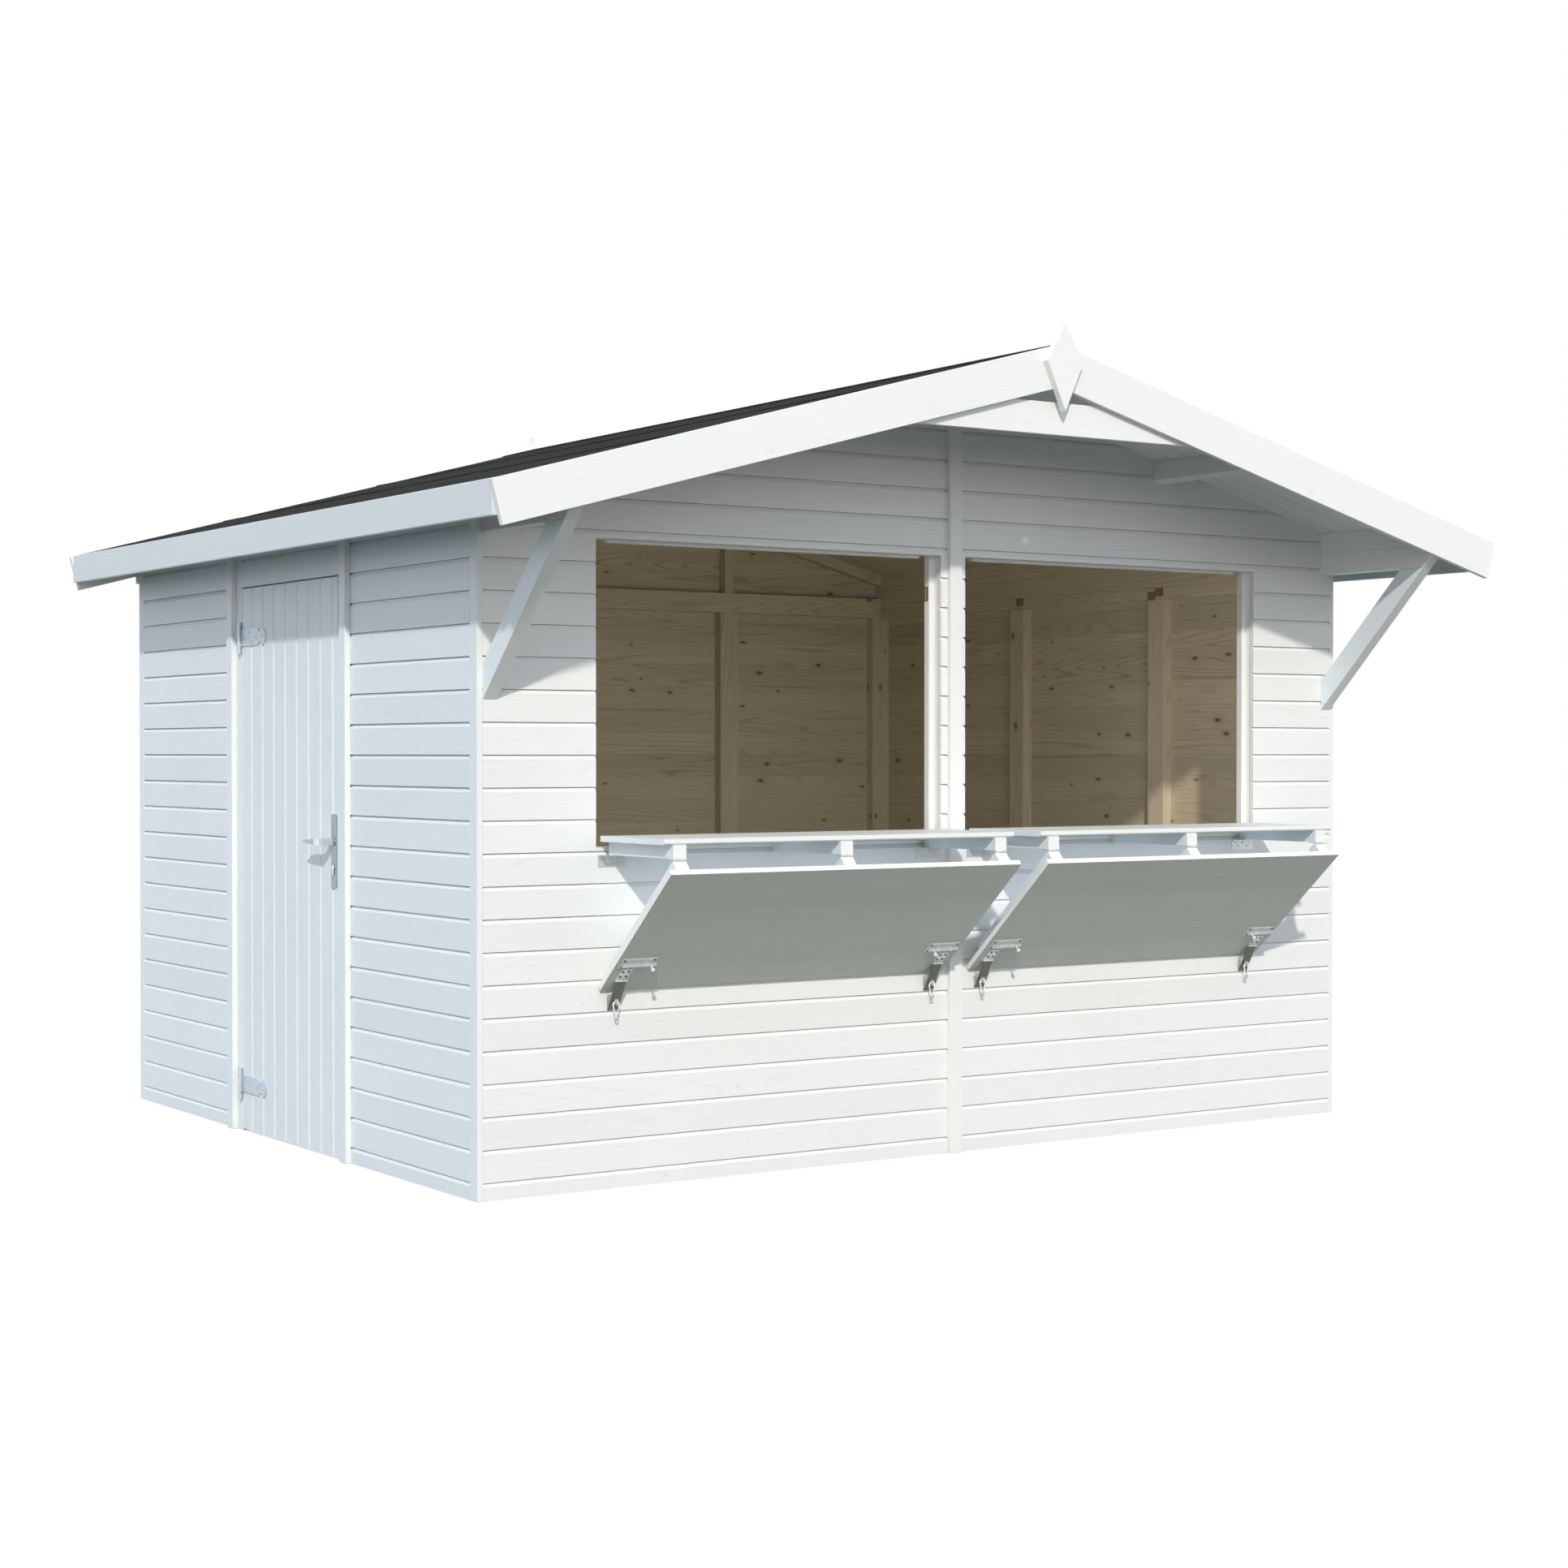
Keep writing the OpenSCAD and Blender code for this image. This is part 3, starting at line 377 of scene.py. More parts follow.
def solids(node):
    """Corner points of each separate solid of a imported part."""
    mesh = frame["nodes"][node].data
    keys = [tuple(round(c, 5) for c in vertex.co) for vertex in mesh.vertices]
    leader = {key: key for key in keys}

    def lead(key):
        while leader[key] != key:
            leader[key] = leader[leader[key]]
            key = leader[key]
        return key

    for face in mesh.polygons:
        first = lead(keys[face.vertices[0]])
        for corner in face.vertices[1:]:
            leader[lead(keys[corner])] = first
    groups = {}
    for key in leader:
        groups.setdefault(lead(key), []).append(Vector(key))
    return sorted(groups.values(), key=lambda group: tuple(map(min, zip(*group))))


def span(points):
    return (Vector([min(p[i] for p in points) for i in range(3)]),
            Vector([max(p[i] for p in points) for i in range(3)]))


def settle(obj, finish, *nodes, body=None, slot=None):
    """Give a piece its finish, its body and the parts that it stands for."""
    obj.data.materials.clear()
    obj.data.materials.append(finish)
    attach(obj, body or BODIES[nodes[0]])
    if nodes:
        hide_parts(*nodes)
    return obj


def between(low, high, share):
    return low + share * (high - low)


def door_ledge_ends():
    """Lowest and highest corner of the low ledge, the high one and the door's brace."""
    return sorted(map(span, solids("door_ledges")), key=lambda ends: ends[1].z - ends[0].z)


def brace_turn():
    """Angle of the door's brace from upright."""
    ledge, _, (low, high) = door_ledge_ends()
    return math.atan2(high.y - low.y - (ledge[1].z - ledge[0].z), high.z - low.z)


# Finishes.
class Finish:
    """Node tree of one finish, with short calls for its nodes."""

    def __init__(self, name):
        self.material = bpy.data.materials.new(name)
        self.material.use_nodes = True
        self.tree = self.material.node_tree
        self.shader = next(n for n in self.tree.nodes if n.type == "BSDF_PRINCIPLED")
        self.place = self.tree.nodes.new("ShaderNodeTexCoord").outputs["Object"]
        split = self.tree.nodes.new("ShaderNodeSeparateXYZ")
        self.feed(split.inputs[0], self.place)
        self.x, self.y, self.z = split.outputs

    def feed(self, socket, value):
        if isinstance(value, bpy.types.NodeSocket):
            self.tree.links.new(value, socket)
        elif socket.type == "RGBA":
            socket.default_value = (*value, 1.0)
        else:
            socket.default_value = value

    def set(self, **sockets):
        for name, value in sockets.items():
            self.feed(self.shader.inputs[name.replace("_", " ")], value)

    def calc(self, operation, *values):
        made = self.tree.nodes.new("ShaderNodeMath")
        made.operation = operation
        for socket, value in zip(made.inputs, values):
            self.feed(socket, value)
        return made.outputs[0]

    def point(self, *values):
        made = self.tree.nodes.new("ShaderNodeCombineXYZ")
        for socket, value in zip(made.inputs, values):
            self.feed(socket, value)
        return made.outputs[0]

    def scaled(self, x, x_scale, y, y_scale, z, z_scale=None):
        return self.point(self.calc("MULTIPLY", x, x_scale), self.calc("MULTIPLY", y, y_scale),
                          self.calc("MULTIPLY", z, z_scale) if z_scale else z)

    def noise(self, vector, scale=1.0, detail=2.0, roughness=0.5):
        made = self.tree.nodes.new("ShaderNodeTexNoise")
        for name, value in (("Vector", vector), ("Scale", scale), ("Detail", detail),
                            ("Roughness", roughness)):
            self.feed(made.inputs[name], value)
        return made.outputs[0]

    def cells(self, vector, scale=1.0, dimensions="3D"):
        made = self.tree.nodes.new("ShaderNodeTexVoronoi")
        made.voronoi_dimensions = dimensions
        self.feed(made.inputs["Vector"], vector)
        self.feed(made.inputs["Scale"], scale)
        first = self.tree.nodes.new("ShaderNodeSeparateColor")
        self.feed(first.inputs[0], made.outputs["Color"])
        return made.outputs["Distance"], first.outputs[0]

    def chance(self, number):
        made = self.tree.nodes.new("ShaderNodeTexWhiteNoise")
        made.noise_dimensions = "1D"
        self.feed(made.inputs["W"], number)
        return made.outputs["Value"]

    def spread(self, value, low, high, new_low, new_high):
        made = self.tree.nodes.new("ShaderNodeMapRange")
        for socket, number in zip(made.inputs, (value, low, high, new_low, new_high)):
            self.feed(socket, number)
        return made.outputs[0]

    def blend(self, share, first, second, mode="MIX"):
        made = self.tree.nodes.new("ShaderNodeMix")
        made.data_type = "RGBA"
        made.blend_type = mode
        self.feed(made.inputs[0], share)
        self.feed(made.inputs[6], first)
        self.feed(made.inputs[7], second)
        return made.outputs[2]

    def dim(self, colour, tone):
        return self.blend(1.0, colour, self.point(tone, tone, tone), "MULTIPLY")

    def relief(self, height, strength, distance):
        made = self.tree.nodes.new("ShaderNodeBump")
        self.feed(made.inputs["Strength"], strength)
        self.feed(made.inputs["Distance"], distance)
        self.feed(made.inputs["Height"], height)
        self.feed(self.shader.inputs["Normal"], made.outputs[0])

    def axis(self, name):
        """Coordinate along or across a wall, an upright, the roof, a brace or a flap; a facing."""
        if name in ("x", "y", "z"):
            return getattr(self, name)
        if name == "girth":
            return self.calc("ADD", self.x, self.y)
        if name == "facing":
            split = self.tree.nodes.new("ShaderNodeSeparateXYZ")
            self.feed(split.inputs[0],
                      self.tree.nodes.new("ShaderNodeNewGeometry").outputs["Normal"])
            return split.outputs["X"]
        kind = name.removeprefix("across_")
        out = self.calc("ABSOLUTE", self.x) if kind == "slope" else None
        first, second, turn = {
            "lean": (self.z, self.y, BRACE_TURN), "ledge": (self.z, self.y, brace_turn()),
            "flap": (self.y, self.z, FLAP_TURN), "slope": (out, self.z, PITCH)}[kind]
        cos, sin = math.cos(turn), math.sin(turn)
        if name == kind:
            return self.calc("SUBTRACT", self.calc("MULTIPLY", first, cos),
                             self.calc("MULTIPLY", second, sin))
        return self.calc("ADD", self.calc("MULTIPLY", first, sin),
                         self.calc("MULTIPLY", second, cos))

    def inside(self, reach, front, back):
        """1 in the room between the side walls and the front and back lines, 0 outside."""
        wide = self.calc("LESS_THAN", self.calc("ABSOLUTE", self.x), reach)
        behind = self.calc("GREATER_THAN", self.y, front)
        before = self.calc("LESS_THAN", self.y, back)
        return self.calc("MULTIPLY", wide, self.calc("MULTIPLY", behind, before))


FINISHES = {}

# Figure of the softwood. Scales are per metre; a spread is two measures and what they become.
PLAIN_COVER = 0.11  # width of a timber that isn't made of boards
GRAIN_SHIFT = 31.0  # reach of the jump in the grain from one board to the next
PLAIN_DRAW, BOLD_DRAW = 0.5, 0.37  # draws of a plain timber and of the rings' strength
KNOT_STRETCH, KNOT_DRAW = 0.19, 0.76  # length with one chance of a knot, and the draw it takes
KNOT_SIZES = (0.025, 0.125)  # smallest and largest knot, in board widths
RIM_SCALE, RIM_WANDER = 60.0, 0.05  # unevenness of a knot's rim
KNOT_FADE = (0.30, 1.0, 1.0, 0.0)
BLUSH_FADE = (0.9, 2.4, 0.35, 0.0)
RING_BEND = (0.0, 0.30, 0.16, 0.0)  # how rings pass round a knot
RING_STRETCH, RING_SCALE, RING_COUNT, RING_SHARPNESS = 0.40, 9.0, 190.0, 6.0
RING_SOFTNESS, RING_BOLD = 0.35, (0.0, 1.0, 0.26, 0.70)
FIBRE_STRETCH, FIBRE_SCALE, FIBRE_SHARE = 5.0, 340.0, 0.34
CLOUD_STRETCH, CLOUD_SCALE, CLOUD_TONES = 0.9, 6.0, (0.3, 0.7, 0.92, 1.06)
PINE_TONES, PINE_ROUGHNESS = (0.0, 1.0, 0.93, 1.05), (0.3, 0.7, 0.58, 0.72)
PAINT_STEP, PAINT_BASE = 0.04, 0.965  # tone of one painted board against the next
WEAR_SCALE, WEAR_TONES = 2.3, (0.3, 0.7, 0.985, 1.01)
FIGURE_SHOWS, KNOT_SHOWS = 0.075, 0.10  # what shows through the paint
PAINT_ROUGHNESS, BARE_ROUGHER = (0.3, 0.7, 0.44, 0.58), 0.14
SEAM_SCALE, SEAM_LINE, SEAM_BREAKS = 9.0, (0.0, 0.020, 1.0, 0.0), (0.35, 0.65, 0.2, 1.0)
RING_RELIEF, WOOD_RELIEF = 0.4, (0.22, 0.0008)


def timber(name, grain, paint=None, board=None, room=None, seam=0.0, painted_shade_split=None):
    """Softwood with grain along the first axis: painted, bare, or bare on the room side only.

    seam is the strength of pale lines at the joints; painted_shade_split is a test, an axis, a
    limit and the paint where the test holds, which puts painted shade on some faces of a timber.
    """
    if name in FINISHES:
        return FINISHES[name]
    colours = bpy.context.scene.hut_finishes
    made = Finish(name)
    along, across, deep = (made.axis(axis) for axis in grain)
    cover, start = board or (PLAIN_COVER, 0.0)
    row = made.calc("DIVIDE", made.calc("SUBTRACT", across, start), cover)
    luck = made.chance(made.calc("FLOOR", row) if board else PLAIN_DRAW)
    shift = made.calc("MULTIPLY", luck, GRAIN_SHIFT)
    run = made.calc("ADD", along, shift)
    # Knots, one chance to a stretch of board, each with a darker heart.
    wander = made.noise(made.scaled(run, RIM_SCALE, across, RIM_SCALE, deep), detail=1.0)
    distance, lot = made.cells(
        made.point(made.calc("DIVIDE", run, KNOT_STRETCH), row, 0.0), dimensions="2D")
    distance = made.calc("MULTIPLY_ADD", made.calc("SUBTRACT", wander, 0.5), RIM_WANDER, distance)
    knotty = made.calc("GREATER_THAN", lot, KNOT_DRAW)
    girth = made.calc("DIVIDE", distance, made.spread(lot, KNOT_DRAW, 1.0, *KNOT_SIZES))
    knot = made.calc("MULTIPLY", made.spread(girth, *KNOT_FADE), knotty)
    blush = made.calc("MULTIPLY", made.spread(girth, *BLUSH_FADE), knotty)
    halo = made.calc("MULTIPLY", made.spread(distance, *RING_BEND), knotty)
    # Growth rings as contour lines of a slow field drawn out along the grain.
    field = made.noise(made.point(made.calc("MULTIPLY", run, RING_STRETCH),
                                  made.calc("MULTIPLY_ADD", across, RING_SCALE, shift),
                                  made.calc("MULTIPLY", deep, RING_SCALE)),
                       detail=1.0, roughness=RING_SOFTNESS)
    field = made.calc("ADD", field, halo)
    ring = made.calc("MULTIPLY_ADD",
                     made.calc("SINE", made.calc("MULTIPLY", field, RING_COUNT)), 0.5, 0.5)
    ring = made.calc("POWER", ring, RING_SHARPNESS)
    fibre = made.noise(made.scaled(run, FIBRE_STRETCH, across, FIBRE_SCALE, deep, FIBRE_SCALE))
    bold = made.spread(made.chance(made.calc("ADD", shift, BOLD_DRAW)), *RING_BOLD)
    figure = made.calc("MULTIPLY_ADD", ring, bold, made.calc("MULTIPLY", fibre, FIBRE_SHARE))
    colour, roughness = None, None
    if paint is None or room is not None:
        colour = made.blend(figure, tuple(colours.pine), tuple(colours.pine_ring))
        colour = made.dim(colour, made.spread(luck, *PINE_TONES))
        cloud = made.noise(made.scaled(run, CLOUD_STRETCH, across, CLOUD_SCALE, deep))
        colour = made.dim(colour, made.spread(cloud, *CLOUD_TONES))
        colour = made.blend(blush, colour, tuple(colours.pine_ring))
        colour = made.blend(knot, colour, tuple(colours.knot))
        roughness = made.spread(fibre, *PINE_ROUGHNESS)
    if paint is not None:
        wear = made.noise(made.place, scale=WEAR_SCALE, detail=3.0)
        tone = made.calc("MULTIPLY", made.calc("MULTIPLY_ADD", luck, PAINT_STEP, PAINT_BASE),
                         made.spread(wear, *WEAR_TONES))
        faint = made.calc("MULTIPLY_ADD", knot, KNOT_SHOWS,
                          made.calc("MULTIPLY", figure, FIGURE_SHOWS))
        coat = paint
        # A second paint where the test holds. Faces that look to the left get the darker side
        # paint. The flaps' inner faces get the plain paint beside their darker outer faces. Both
        # are painted shade.
        if painted_shade_split:
            test, axis, limit, second = painted_shade_split
            coat = made.blend(made.calc(test, made.axis(axis), limit), paint, second)
        coat = made.blend(faint, made.dim(coat, tone), tuple(colours.pine_ring))
        if seam:
            edge = made.calc("ABSOLUTE", made.calc(
                "SUBTRACT", made.calc("FRACT", made.calc("ADD", row, 0.5)), 0.5))
            broken = made.noise(made.point(made.calc("MULTIPLY", along, SEAM_SCALE), row, 0.0))
            line = made.calc("MULTIPLY", made.spread(edge, *SEAM_LINE),
                             made.spread(broken, *SEAM_BREAKS))
            coat = made.blend(made.calc("MULTIPLY", line, seam), coat, (1.0, 1.0, 1.0))
        gloss = made.spread(fibre, *PAINT_ROUGHNESS)
        if colour is None:
            colour, roughness = coat, gloss
        else:
            within = made.inside(*room)
            colour = made.blend(within, coat, colour)
            roughness = made.calc("ADD", gloss, made.calc("MULTIPLY", within, BARE_ROUGHER))
    made.set(Base_Color=colour, Roughness=roughness)
    made.relief(made.calc("MULTIPLY_ADD", ring, RING_RELIEF, fibre), *WOOD_RELIEF)
    FINISHES[name] = made.material
    return made.material


# Grit, patches and streaks of the felt.
GRIT_SCALE, PATCH_SCALE, STREAK_SCALE, STREAK_STRETCH = 620.0, 1.7, 7.0, 0.6
GRIT_SHARE, PATCH_SHARE, STREAK_SHARE = 0.55, 0.35, 0.25
FELT_DARK, FELT_PALE, FELT_SHEEN = 0.55, 1.75, 0.06
FELT_ROUGHNESS, FELT_RELIEF = (0.3, 0.7, 0.82, 0.95), (0.55, 0.0012)


def felt_finish():
    if "mineral felt" in FINISHES:
        return FINISHES["mineral felt"]
    made = Finish("mineral felt")
    base = Vector(bpy.context.scene.hut_finishes.felt)
    _, grit = made.cells(made.place, scale=GRIT_SCALE)
    patch = made.noise(made.place, scale=PATCH_SCALE, detail=4.0)
    streak = made.noise(made.scaled(made.x, STREAK_SCALE, made.y, STREAK_STRETCH, made.z),
                        detail=3.0)
    share = made.calc("MULTIPLY_ADD", grit, GRIT_SHARE, made.calc("MULTIPLY", patch, PATCH_SHARE))
    share = made.calc("MULTIPLY_ADD", streak, STREAK_SHARE, share)
    made.set(Base_Color=made.blend(share, tuple(base * FELT_DARK), tuple(base * FELT_PALE)),
             Roughness=made.spread(patch, *FELT_ROUGHNESS), Specular_IOR_Level=FELT_SHEEN)
    made.relief(grit, *FELT_RELIEF)
    FINISHES["mineral felt"] = made.material
    return made.material


# Zinc flowers, brush marks and dull patches of the metals.
FLOWER_SCALE, BRUSH_SCALE, BRUSH_STRETCH, DULL_SCALE = 160.0, 900.0, 30.0, 35.0
GRAIN_SHARE, DULL_SHARE = 0.6, 0.4
METAL_DARK, METAL_PALE, PAINTED_SHADE_PALE = 0.78, 1.12, 1.3
GRAIN_RANGE, SMOOTHER, ROUGHER, METAL_RELIEF = (0.2, 0.8), 0.08, 0.1, (0.12, 0.0003)
# Grain, roughness and share of bare metal of each finish.
METALS = {
    "bright zinc": ("flowers", 0.42, 0.58),
    "galvanised iron": ("flowers", 0.46, 0.55),
    "satin handle metal": ("brushed", 0.38, 0.75),
    "zinc with painted dark strap": ("flowers", 0.46, 0.5),
    "zinc with painted shade on the rod": ("flowers", 0.50, 0.45),
    "handle metal with painted highlight": ("brushed", 0.34, 0.75),
    "dark screws": ("flowers", 0.48, 0.5),
    "bright wire": ("flowers", 0.36, 0.5),
    "dull brass": ("brushed", 0.42, 0.6),
    "polished lock metal with painted shade": ("brushed", 0.30, 0.7),
}


def metal_finish(name, colour, painted_light_part=None):
    """Metal with zinc flowers or a brushed grain; painted_light_part is a test, an axis, limits and
    a darker colour that paints shade on part of the metal, beside which a bright base is a painted
    highlight.
    """
    if name in FINISHES:
        return FINISHES[name]
    made = Finish(name)
    colour = Vector(colour)
    grain, roughness, metallic = METALS[name]
    if grain == "flowers":
        _, lot = made.cells(made.place, scale=FLOWER_SCALE)
    else:
        lot = made.noise(made.scaled(made.x, BRUSH_SCALE, made.y, BRUSH_SCALE,
                                     made.z, BRUSH_STRETCH))
    dull = made.noise(made.place, scale=DULL_SCALE, detail=3.0)
    share = made.calc("MULTIPLY_ADD", lot, GRAIN_SHARE, made.calc("MULTIPLY", dull, DULL_SHARE))
    tone = made.blend(share, tuple(colour * METAL_DARK), tuple(colour * METAL_PALE))
    # Where the test holds, the darker colour paints shade onto the metal.
    if painted_light_part:
        test, axis, limits, painted_shade_colour = painted_light_part
        painted_light = made.blend(share, tuple(painted_shade_colour), tuple(Vector(painted_shade_colour) * PAINTED_SHADE_PALE))
        tone = made.blend(made.calc(test, made.axis(axis), *limits), tone, painted_light)
    made.set(Base_Color=tone, Metallic=metallic,
             Roughness=made.spread(share, *GRAIN_RANGE, roughness - SMOOTHER,
                                   roughness + ROUGHER))
    made.relief(share, *METAL_RELIEF)
    FINISHES[name] = made.material
    return made.material


def room_lines(margin):
    return (HALF - margin, FRONT + margin, BACK - margin)


def board_finish(kind):
    """Finish of each kind of board or timber, by the way that its grain runs."""
    boards = bpy.context.scene.hut_boards
    colours = bpy.context.scene.hut_finishes
    paint, side = tuple(colours.paint), tuple(colours.side_painted_shade)
    shade = tuple(colours.shade_paint)
    wall = (boards.cover, boards.first_joint)
    skin = CLAD - 1.5 * boards.inner_joint
    past_wall = (HALF - skin, -FAR, FAR)
    past_front = (FAR, FRONT_INNER - BARE_SKIN, FAR)
    # Faces that look to the left take the darker side paint. This is painted shade set by the way a
    # face looks.
    shade_left_faces = ("LESS_THAN", "facing", LOOKS_LEFT, side)
    upright, cross, level = ("z", "girth", "x"), ("x", "z", "y"), ("y", "z", "x")
    slope = ("slope", "across_slope", "y")
    kinds = {
        "front boards": (cross, paint, wall, (FAR, *room_lines(skin)[1:])),
        # The side walls, the door and the door's head stop take the side paint, which is painted
        # shade.
        "side boards": (level, side, wall, past_wall),
        "door boards": (("z", "y", "x"), side,
                        (boards.cover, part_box("door_leaf")[1].y - boards.door_first), past_wall),
        # Under the overhang, the roof boards and purlins take the darker overhang paint, which is
        # painted shade.
        "roof boards": (("slope", "y", "across_slope"), shade,
                        (boards.cover, ROOF_FRONT + boards.deck_first), room_lines(CLAD / 2)),
        "upright paint": (upright, paint),
        "side upright paint": (upright, paint, None, (HALF - 3 * CLAD, -FAR, FAR), 0.0, shade_left_faces),
        # The fascias take the darker fascia paint, which is painted shade.
        "fascia paint": (level, tuple(colours.fascia_painted_shade)),
        "cross paint": (cross, paint, None, None, 0.0, shade_left_faces),
        # The flaps' outer faces take the darker flap paint as painted shade. Their inner faces take
        # the plain paint.
        "flap boards": (("x", "flap", "across_flap"), tuple(colours.flap_painted_shade),
                        (boards.hatch_cover, FLAP_FOLD), None, boards.flap_seam,
                        ("GREATER_THAN", "across_flap", FLAP_SHELL + boards.inner_joint / 2,
                         paint)),
        "slope paint": (slope, paint),
        "brace paint": (("lean", "across_lean", "x"), paint, None, None, 0.0, shade_left_faces),
        "head stop paint": (level, side),
        "purlin paint": (level, shade, None, room_lines(CLAD / 2)),
        "opening posts": (upright, paint, None, past_front),
        "opening rails": (cross, paint, None, past_front),
        "upright pine": (upright,),
        "cross pine": (cross,),
        "side pine": (level,),
        "ledge pine": (("ledge", "across_ledge", "x"),),
        "rail pine": (level, side, None, (HALF - CLAD * 1.5, -FAR, FAR)),
        "slope pine": (slope,),
        "end grain": (level, tuple(colours.end_grain)),
    }
    return timber(kind, *kinds[kind])


# Boards.
def lay_boards(name, along, stack, first_joint, chamfer, matrix):
    """Stack of lapped boards: face on y = 0, upper edges sloped back, thickness inwards."""
    boards = bpy.context.scene.hut_boards
    rise, depth = chamfer
    slit = min(boards.joint_slit, rise / 2)
    cover = boards.cover
    first = first_joint + math.floor((stack[0] - first_joint) / cover) * cover
    count = math.ceil((stack[1] - first) / cover)
    top = first + cover
    obj = block(name, (along[0], 0.0, first), (along[1], CLAD, top - rise))
    with editing(obj):
        pick(obj, "FACE", lambda f: f.normal.z > LOOKS)
        extrude(z=rise - slit)
        pick(obj, "EDGE", lambda e: all(v.co.z > top - slit - NEAR and v.co.y < NEAR
                                        for v in e.verts))
        bpy.ops.transform.translate(value=(0.0, depth, 0.0))
        pick(obj, "FACE", lambda f: f.normal.z > LOOKS)
        extrude(z=slit)
        pick(obj, "EDGE", lambda e: all(v.co.z > top - NEAR and v.co.y < depth + NEAR
                                        for v in e.verts))
        bpy.ops.transform.translate(value=(0.0, boards.joint_reach, 0.0))
        pick(obj, "EDGE", lambda e: all(v.co.y > CLAD - NEAR for v in e.verts)
             and (all(v.co.z > top - NEAR for v in e.verts)
                  or all(v.co.z < first + NEAR for v in e.verts)))
        bpy.ops.mesh.bevel(offset=boards.inner_joint, segments=1, affect="EDGES")
    modify(obj, "ARRAY", count=count, use_relative_offset=False, use_constant_offset=True,
           constant_offset_displace=(0.0, 0.0, cover))
    trim(obj, (0.0, 0.0, stack[0]), (0.0, 0.0, -1.0))
    trim(obj, (0.0, 0.0, stack[1]), (0.0, 0.0, 1.0))
    place(obj, matrix)
    return obj


WALLS = {
    "front": (0.0, (0.0, FRONT, 0.0), lambda low, high: (low.x, high.x)),
    "left": (-90.0, (-HALF, 0.0, 0.0), lambda low, high: (-high.y, -low.y)),
    "back": (180.0, (0.0, BACK, 0.0), lambda low, high: (-high.x, -low.x)),
    "right": (90.0, (HALF, 0.0, 0.0), lambda low, high: (low.y, high.y)),
}


def clad(node, wall, finish):
    """Boards over each solid of a wall, trimmed under the roof."""
    boards = bpy.context.scene.hut_boards
    turn, corner, reach = WALLS[wall]
    matrix = Matrix.Translation(corner) @ Matrix.Rotation(math.radians(turn), 4, "Z")
    stacks = []
    for number, points in enumerate(solids(node)):
        low, high = span(points)
        stack = lay_boards(f"{node}_stack_{number}", reach(low, high), (low.z, high.z),
                           boards.first_joint,
                           (boards.chamfer_height, boards.chamfer_depth), matrix)
        for side in (-1, 1):
            trim(stack, (0.0, 0.0, DECK_UNDER - NEAR), (side * FALL, 0.0, 1.0))
        stacks.append(stack)
    settle(join(stacks, f"{node}_boards"), board_finish(finish), node)


class HUT_OT_clad_front(bpy.types.Operator):
    """Board the serving front and its gable"""
    bl_idname = "hut.clad_front"
    bl_label = "Board the front"

    def execute(self, context):
        for node in ("front_apron", "front_piers", "front_gable"):
            clad(node, "front", "front boards")
        return {"FINISHED"}


class HUT_OT_clad_sides(bpy.types.Operator):
    """Board the two side walls"""
    bl_idname = "hut.clad_sides"
    bl_label = "Board the sides"

    def execute(self, context):
        clad("right_wall", "right", "side boards")
        for node in ("left_wall_front", "left_wall_back", "left_wall_over_door"):
            clad(node, "left", "side boards")
        return {"FINISHED"}


class HUT_OT_clad_back(bpy.types.Operator):
    """Board the back wall and its gable"""
    bl_idname = "hut.clad_back"
    bl_label = "Board the back"

    def execute(self, context):
        for node in ("back_wall", "back_gable"):
            clad(node, "back", "front boards")
        return {"FINISHED"}


class HUT_OT_door_boards(bpy.types.Operator):
    """Board the door leaf with uprights"""
    bl_idname = "hut.door_boards"
    bl_label = "Board the door"

    def execute(self, context):
        boards = context.scene.hut_boards
        low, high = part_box("door_leaf")
        upright = Matrix(((0, 1, 0, low.x), (0, 0, -1, 0), (-1, 0, 0, 0), (0, 0, 0, 1)))
        leaf = lay_boards("door_leaf_boards", (-high.z, -low.z), (-high.y, -low.y),
                          -high.y + boards.door_first,
                          (boards.chamfer_height, boards.chamfer_depth), upright)
        settle(leaf, board_finish("door boards"), "door_leaf")
        return {"FINISHED"}


def slope_frame(side, height):
    """Matrix from a flat sheet (run, thickness, -depth) to one slope of the roof."""
    cos, sin = math.cos(PITCH), math.sin(PITCH)
    return Matrix(((cos, side * sin, 0, 0), (0, 0, -1, 0),
                   (-side * sin, cos, 0, height), (0, 0, 0, 1)))


class HUT_OT_roof_boards(bpy.types.Operator):
    """Lay the roof boards from ridge to eaves, grooved underneath"""
    bl_idname = "hut.roof_boards"
    bl_label = "Lay the roof boards"

    def execute(self, context):
        boards = context.scene.hut_boards
        run = EDGE / math.cos(PITCH) + CLAD
        for side, node in ((-1, "roof_boards_left"), (1, "roof_boards_right")):
            reach = (-run, CLAD) if side < 0 else (-CLAD, run)
            deck = lay_boards(f"{node}_deck", reach, (-ROOF_BACK, -ROOF_FRONT),
                              -ROOF_FRONT - boards.deck_first,
                              (boards.deck_chamfer, boards.deck_chamfer),
                              slope_frame(side, DECK_UNDER))
            trim(deck, (0.0, 0.0, 0.0), (-side, 0.0, 0.0))
            trim(deck, (side * EDGE, 0.0, 0.0), (side, 0.0, 0.0))
            settle(deck, board_finish("roof boards"), node)
        return {"FINISHED"}


FELT_CUTS = 24  # cuts along a course, for its unevenness
FELT_LINES = (0.2, 0.4, 0.6, 0.8)  # cuts across a course, as shares of its width


